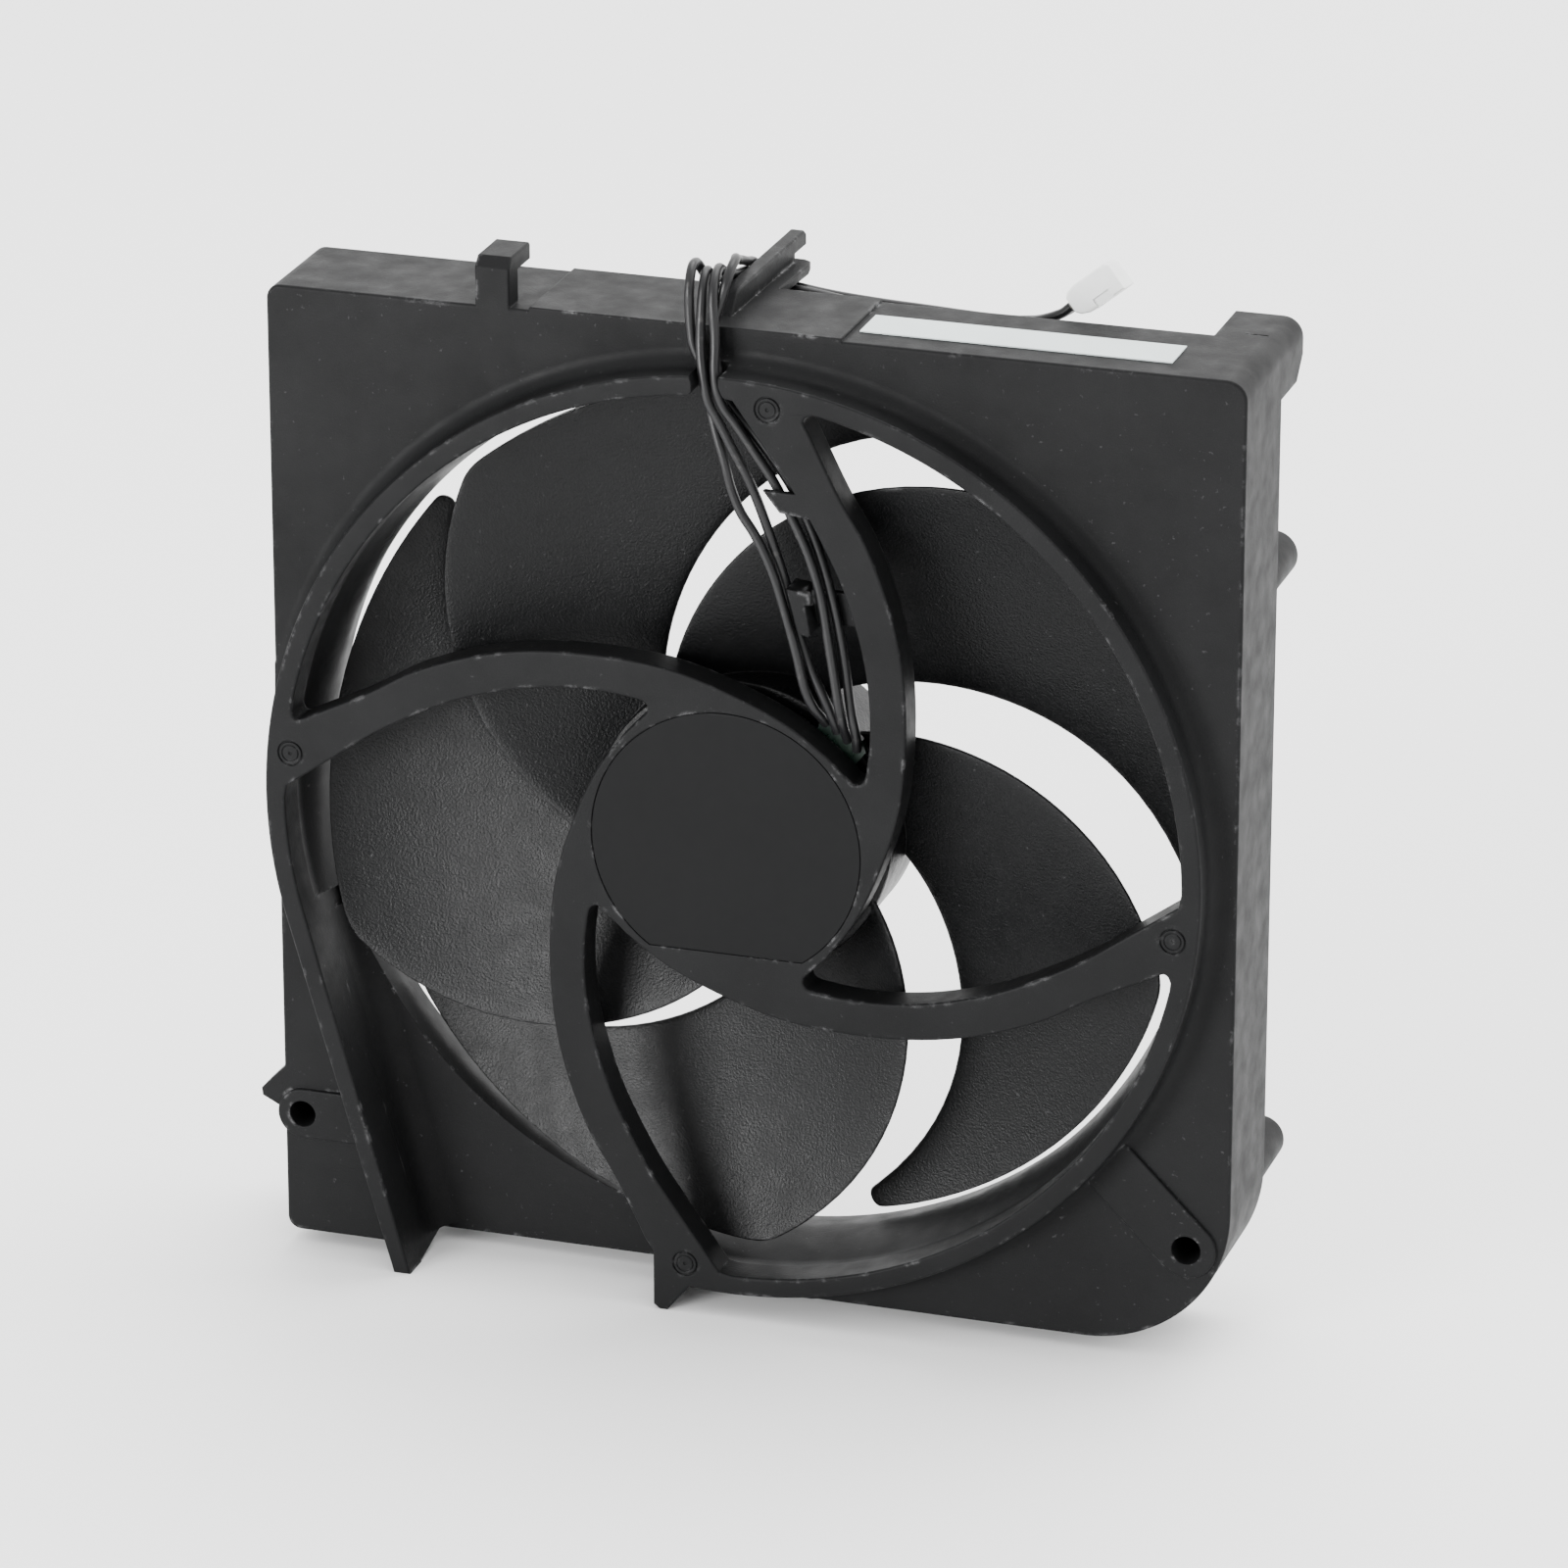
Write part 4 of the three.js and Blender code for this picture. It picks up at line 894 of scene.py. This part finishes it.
# Each lead's route from the board to just before the plug, the same points as the CAD's.
LEAD_ROUTES = [
    [
        (11.6, 3.9, 15.9), (11.2, 3.2, 16.9), (10.4, 2.3, 18.5), (9.5, 1.8, 21), (8.5, 1.7, 25.3),
        (7.4, 1.7, 29.3), (5.5, 1.7, 35.3), (3.3, 1.8, 39.8), (1.5, 1.8, 42.5), (0.3, 1.8, 45.3),
        (-0.6, 1.8, 48.8), (-1.8, 2.2, 52.3), (-2.85, 2.85, 55.8), (-3.3, 3, 58.6), (-4, 3.1, 60.4),
        (-4.9, 3.2, 62.5), (-5.3, 3.4, 64.8), (-5.5, 3.6, 67.2), (-5.55, 3.7, 69), (-5.65, 4.4, 70.5),
        (-5.8, 5.7, 71.5), (-5.9, 7.3, 71.5), (-6, 8.8, 70.7), (-6.1, 11, 69), (-6.4, 14, 67.3),
        (-6.8, 17, 66.2), (-6.95, 20.2, 65.7), (-6.95, 21.6, 65.3), (-6.85, 22.5, 64.4), (-6.2, 23, 63.3),
        (-5, 23.5, 62.7), (-3.6, 23.9, 62.3), (-1.5, 24.1, 62.2), (5, 24, 61.9), (15, 24.1, 61.2),
        (24, 24.2, 61.2), (30, 24.5, 62.1),
    ],
    [
        (13, 3.9, 15), (12.8, 3.4, 16.2), (12.3, 3.1, 17.8), (11.4, 2.9, 20), (9.8, 3, 23.4),
        (8, 3.1, 28.8), (6.8, 3.1, 33.4), (5.5, 2.9, 37.6), (3.5, 2.2, 44), (2.2, 1.9, 47.2),
        (0.4, 1.7, 50.6), (-1.1, 1.6, 53.6), (-2.5, 1.5, 56.2), (-3, 1.55, 58.6), (-3.4, 1.8, 60.7),
        (-3.7, 2.3, 62.7), (-3.85, 2.8, 64.7), (-3.9, 3.3, 66.6), (-3.95, 3.8, 68.3), (-4, 4.4, 69.7),
        (-4.15, 5.6, 70.7), (-4.35, 7.1, 70.7), (-4.6, 8.6, 69.8), (-4.9, 10.6, 68.1), (-5.1, 12.8, 66.6),
        (-5.25, 15, 65.8), (-5.4, 18, 65.3), (-5.6, 21, 65.3), (-5.65, 22.3, 65.05), (-5.65, 23.6, 64.6),
        (-5.6, 24.7, 63.75), (-5.2, 25.6, 62.85), (-4.1, 26.3, 62.3), (-2.2, 26.5, 62.1), (2, 26.1, 62),
        (12, 25.8, 61.3), (24, 25.8, 61.1), (30, 25.9, 61.8),
    ],
    [
        (14.3, 3.9, 14), (14.2, 3.1, 15.4), (14.1, 2.2, 17), (13.9, 1.6, 19.1), (13.5, 1.5, 21.8),
        (12.6, 1.6, 27.2), (11.5, 1.7, 33.2), (9.9, 1.8, 38.2), (7.9, 1.9, 42.4), (5.8, 1.9, 46.5),
        (3.3, 1.8, 50.2), (0.9, 1.7, 53.6), (-0.7, 1.6, 55.8), (-1.5, 1.5, 58.2), (-1.75, 1.7, 60.4),
        (-1.85, 2.2, 62.4), (-2, 2.6, 64.4), (-2.2, 2.8, 66.3), (-2.4, 3.1, 68), (-2.5, 3.8, 69.7),
        (-2.65, 5.2, 70.9), (-2.95, 7.1, 71.1), (-3.4, 9.4, 70.3), (-4, 12.4, 69), (-4.4, 15, 67.9),
        (-4.6, 17.6, 67), (-4.7, 20, 66.4), (-4.75, 22.4, 65.95), (-4.8, 24, 65.4), (-4.8, 25.2, 64.75),
        (-4.85, 26.2, 64), (-4.8, 27.1, 63.1), (-4.2, 27.8, 62.45), (-2.8, 28.2, 62.2), (0.5, 27.9, 62.3),
        (10, 27.6, 61.3), (22, 27.4, 61.1), (30, 27.4, 61.5),
    ],
    [
        (15.5, 3.9, 12.9), (15.6, 3.4, 14.3), (15.5, 3, 16), (15.1, 2.9, 18), (14, 2.8, 26.2),
        (12.8, 2.7, 32.2), (11.3, 2.9, 37.2), (9.6, 3, 41.6), (7.6, 3, 45.8), (5.7, 3, 48.6),
        (3.4, 3, 51.5), (0.3, 3, 54.9), (-1.2, 2.95, 57), (-1.7, 3, 59), (-2.15, 3.3, 61), (-2.6, 3.8, 63),
        (-2.55, 4.15, 65), (-2.1, 4.2, 66.8), (-1.6, 4.3, 68.6), (-1.2, 4.7, 70.3), (-1, 5.9, 71.65),
        (-1.1, 7.6, 72.1), (-1.75, 10, 71.6), (-2.8, 13, 70.6), (-3.7, 16, 69.6), (-4.25, 18.5, 68.6),
        (-4.4, 20.8, 67.8), (-4.4, 22.4, 67.2), (-4.4, 24.4, 66.6), (-4.4, 25.8, 65.9), (-4.4, 27, 65),
        (-4.4, 28.1, 64), (-4.4, 28.95, 63.1), (-3.8, 29.5, 62.5), (-2.2, 29.8, 62.3), (4.3, 29.5, 61.6),
        (15, 29.2, 61.1), (30, 29, 61.1),
    ],
]
PLUG_LENGTH, PLUG_WIDTH, PLUG_HEIGHT, PLUG_PITCH, PLUG_CAVITY = 6.6, 7.5, 3.9, 1.5, 1.1
PLUG_ENTRY = Vector((35.5, 27.6, 64.15))


def plug_turn():
    turns = [
        Matrix.Rotation(math.radians(degrees), 3, axis)
        for degrees, axis in ((16.4, "Z"), (-37.3, "Y"), (-16.4, "X"))
    ]
    return turns[0] @ turns[1] @ turns[2]


def plug_place(u, v, w):
    """A point u along the plug, v across it and w above its middle plane."""
    return PLUG_ENTRY + plug_turn() @ Vector((u, v, w))


def plug_row(number):
    """How far across the plug's middle a lead enters it."""
    return (number - 1.5) * PLUG_PITCH


def lead_path(number):
    across = plug_row(number)
    ends = [plug_place(-1.8, across, 0), plug_place(-0.3, across, 0)]
    return catmull_rom(LEAD_ROUTES[number] + ends, 6)


def add_lead(number, sleeve):
    points = [p * MM for p in lead_path(number)]
    data = bpy.data.curves.new(f"fan_lead_{number + 1}", "CURVE")
    data.dimensions = "3D"
    data.bevel_depth = LEAD / 2 * MM
    data.bevel_resolution = 5
    data.use_fill_caps = True
    spline = data.splines.new("POLY")
    spline.points.add(len(points) - 1)
    for target, point in zip(spline.points, points):
        target.co = (*point, 1.0)
    spline.use_smooth = True
    piece = bpy.data.objects.new(f"fan_lead_{number + 1}", data)
    bpy.context.scene.collection.objects.link(piece)
    data.materials.append(sleeve)
    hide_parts(f"lead_{number + 1}")
    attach(piece, "frame")
    length = sum((b - a).length for a, b in zip(points, points[1:]))
    return piece, points, length


def plug_box(name, u0, u1, v0, v1, w0, w1):
    return slab(name, [(u0, w0), (u1, w0), (u1, w1), (u0, w1)], v0, v1, place=plug_place)


def plug():
    """The plug's shell, with four cavities from the leads' side and a recess for its latch."""
    half_w, half_h = PLUG_WIDTH / 2, PLUG_HEIGHT / 2
    side = [
        (0, -0.95), (0.5, -1.5), (1.5, -half_h), (PLUG_LENGTH, -half_h), (PLUG_LENGTH, half_h - 0.5),
        (PLUG_LENGTH - 0.5, half_h), (1.8, half_h), (0.5, 1.6), (0, 1.05),
    ]
    body = slab("plug", side, -half_w, half_w, front=0.25, back=0.25, place=plug_place)
    bevel_mesh(body, 0.12)
    half = PLUG_CAVITY / 2
    for number in range(4):
        v = plug_row(number)
        cut(body, plug_box("cavity", -1, 5.6, v - half, v + half, -half, half))
    cut(body, plug_box("latch_recess", 2.6, 4.95, -half_w - 1, -half_w + 0.3, -half_h - 1, -0.85))
    body.name = "fan_plug_shell"
    return body


# ------------------------------------------------------------------ lights and floor

def area_light(name, place, target, power, size):
    data = bpy.data.lights.new(name, "AREA")
    data.energy = power
    data.shape = "DISK"
    data.size = size
    light = bpy.data.objects.new(name, data)
    bpy.context.scene.collection.objects.link(light)
    light.location = place
    light.rotation_euler = (Vector(place) - Vector(target)).to_track_quat("Z", "Y").to_euler()


def studio():
    """A pale floor, soft lights, and a white sky that is brightest above and behind the fan."""
    world = bpy.data.worlds.new("studio")
    bpy.context.scene.world = world
    world.use_nodes = True
    tree = world.node_tree
    background = tree.nodes["Background"]
    background.inputs["Color"].default_value = (1.0, 1.0, 1.0, 1.0)
    lean = node(tree, "ShaderNodeVectorMath", {1: (0.25, 0.75, 0.6)}, operation="DOT_PRODUCT")
    tree.links.new(node(tree, "ShaderNodeTexCoord").outputs["Generated"], lean.inputs[0])
    tree.links.new(remap(tree, lean.outputs["Value"], -0.7, 0.8, 0.45, 3.3), background.inputs["Strength"])
    area_light("overhead", (0.25, 0.7, 1.8), (0, 0.1, 0), 40, 1.6)
    area_light("right", (1.3, 0.3, 0.7), (0, 0, 0), 6, 0.9)
    area_light("front_left", (-0.52, -1.0, 0.11), (-0.03, 0.01, -0.01), 27, 0.62)
    far = 6000
    corners = [(x * far, y * far, FLOOR_Z) for x, y in ((-1, -1), (1, -1), (1, 1), (-1, 1))]
    floor = mesh_of("studio_floor", corners, [(0, 1, 2, 3)])
    dress(floor, floor_paint())


# ------------------------------------------------------------------ assembly

def add_piece(piece, made, cad_node, body):
    """Gives a piece its material and has it stand for a CAD node on a body."""
    dress(piece, made)
    finish_shading(piece)
    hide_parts(cad_node)
    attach(piece, body)
    return piece


def main():
    add_camera()
    sleeve = lead_sleeve()
    leads = [add_lead(number, sleeve) for number in range(4)]

    white = nylon()
    shell_plug = add_piece(plug(), white, "plug_housing", "frame")
    for number, (piece, points, length) in enumerate(leads):
        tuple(points[0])

    black = moulded_plastic(
        "frame_plastic", tone=(0.0056, 0.0057, 0.0059), roughness=0.48, shine=0.07,
        grain=0.3, grain_scale=4200, wear=0.7,
    )
    satin = moulded_plastic(
        "impeller_plastic", tone=(0.0022, 0.0023, 0.0025), roughness=0.35, shine=0.17,
        grain=0.95, grain_scale=3400, wear=0.2,
    )
    hub_film = film("hub_label", (0.0042, 0.0043, 0.0045), 0.5)
    add_piece(housing(), black, "housing", "frame")
    add_piece(impeller(), satin, "impeller", "rotor")
    label = slab("fan_hub_film", label_outline(0.12), 0, 0.2, front=0.06)
    add_piece(label, hub_film, "hub_label", "frame")

    steel = metal("steel", (0.62, 0.63, 0.65), 0.22)
    brass = metal("brass", (0.70, 0.52, 0.25), 0.25)
    laminated = metal("lamination", (0.34, 0.35, 0.37), 0.4)
    finishes = {
        "side_label": film("side_label", (0.57, 0.625, 0.62), 0.45),
        "bearing_tube": brass, "front_bearing": steel, "rear_bearing": steel, "stator_core": laminated,
        "front_insulator": white, "rear_insulator": white, "circuit_board": solder_mask(),
        "driver_chip": satin, "hall_sensor": satin, "capacitor": white, "rotor_yoke": steel,
        "magnet_ring": satin, "shaft": steel, "retaining_clip": steel, "thrust_washer": white,
        "preload_spring": steel,
    }
    copper = windings()
    for number in range(1, 5):
        finishes[f"coil_{number}"] = copper
        finishes[f"crimp_terminal_{number}"] = brass
    for name, made in finishes.items():
        dress(nodes[name], made)

    studio()


main()
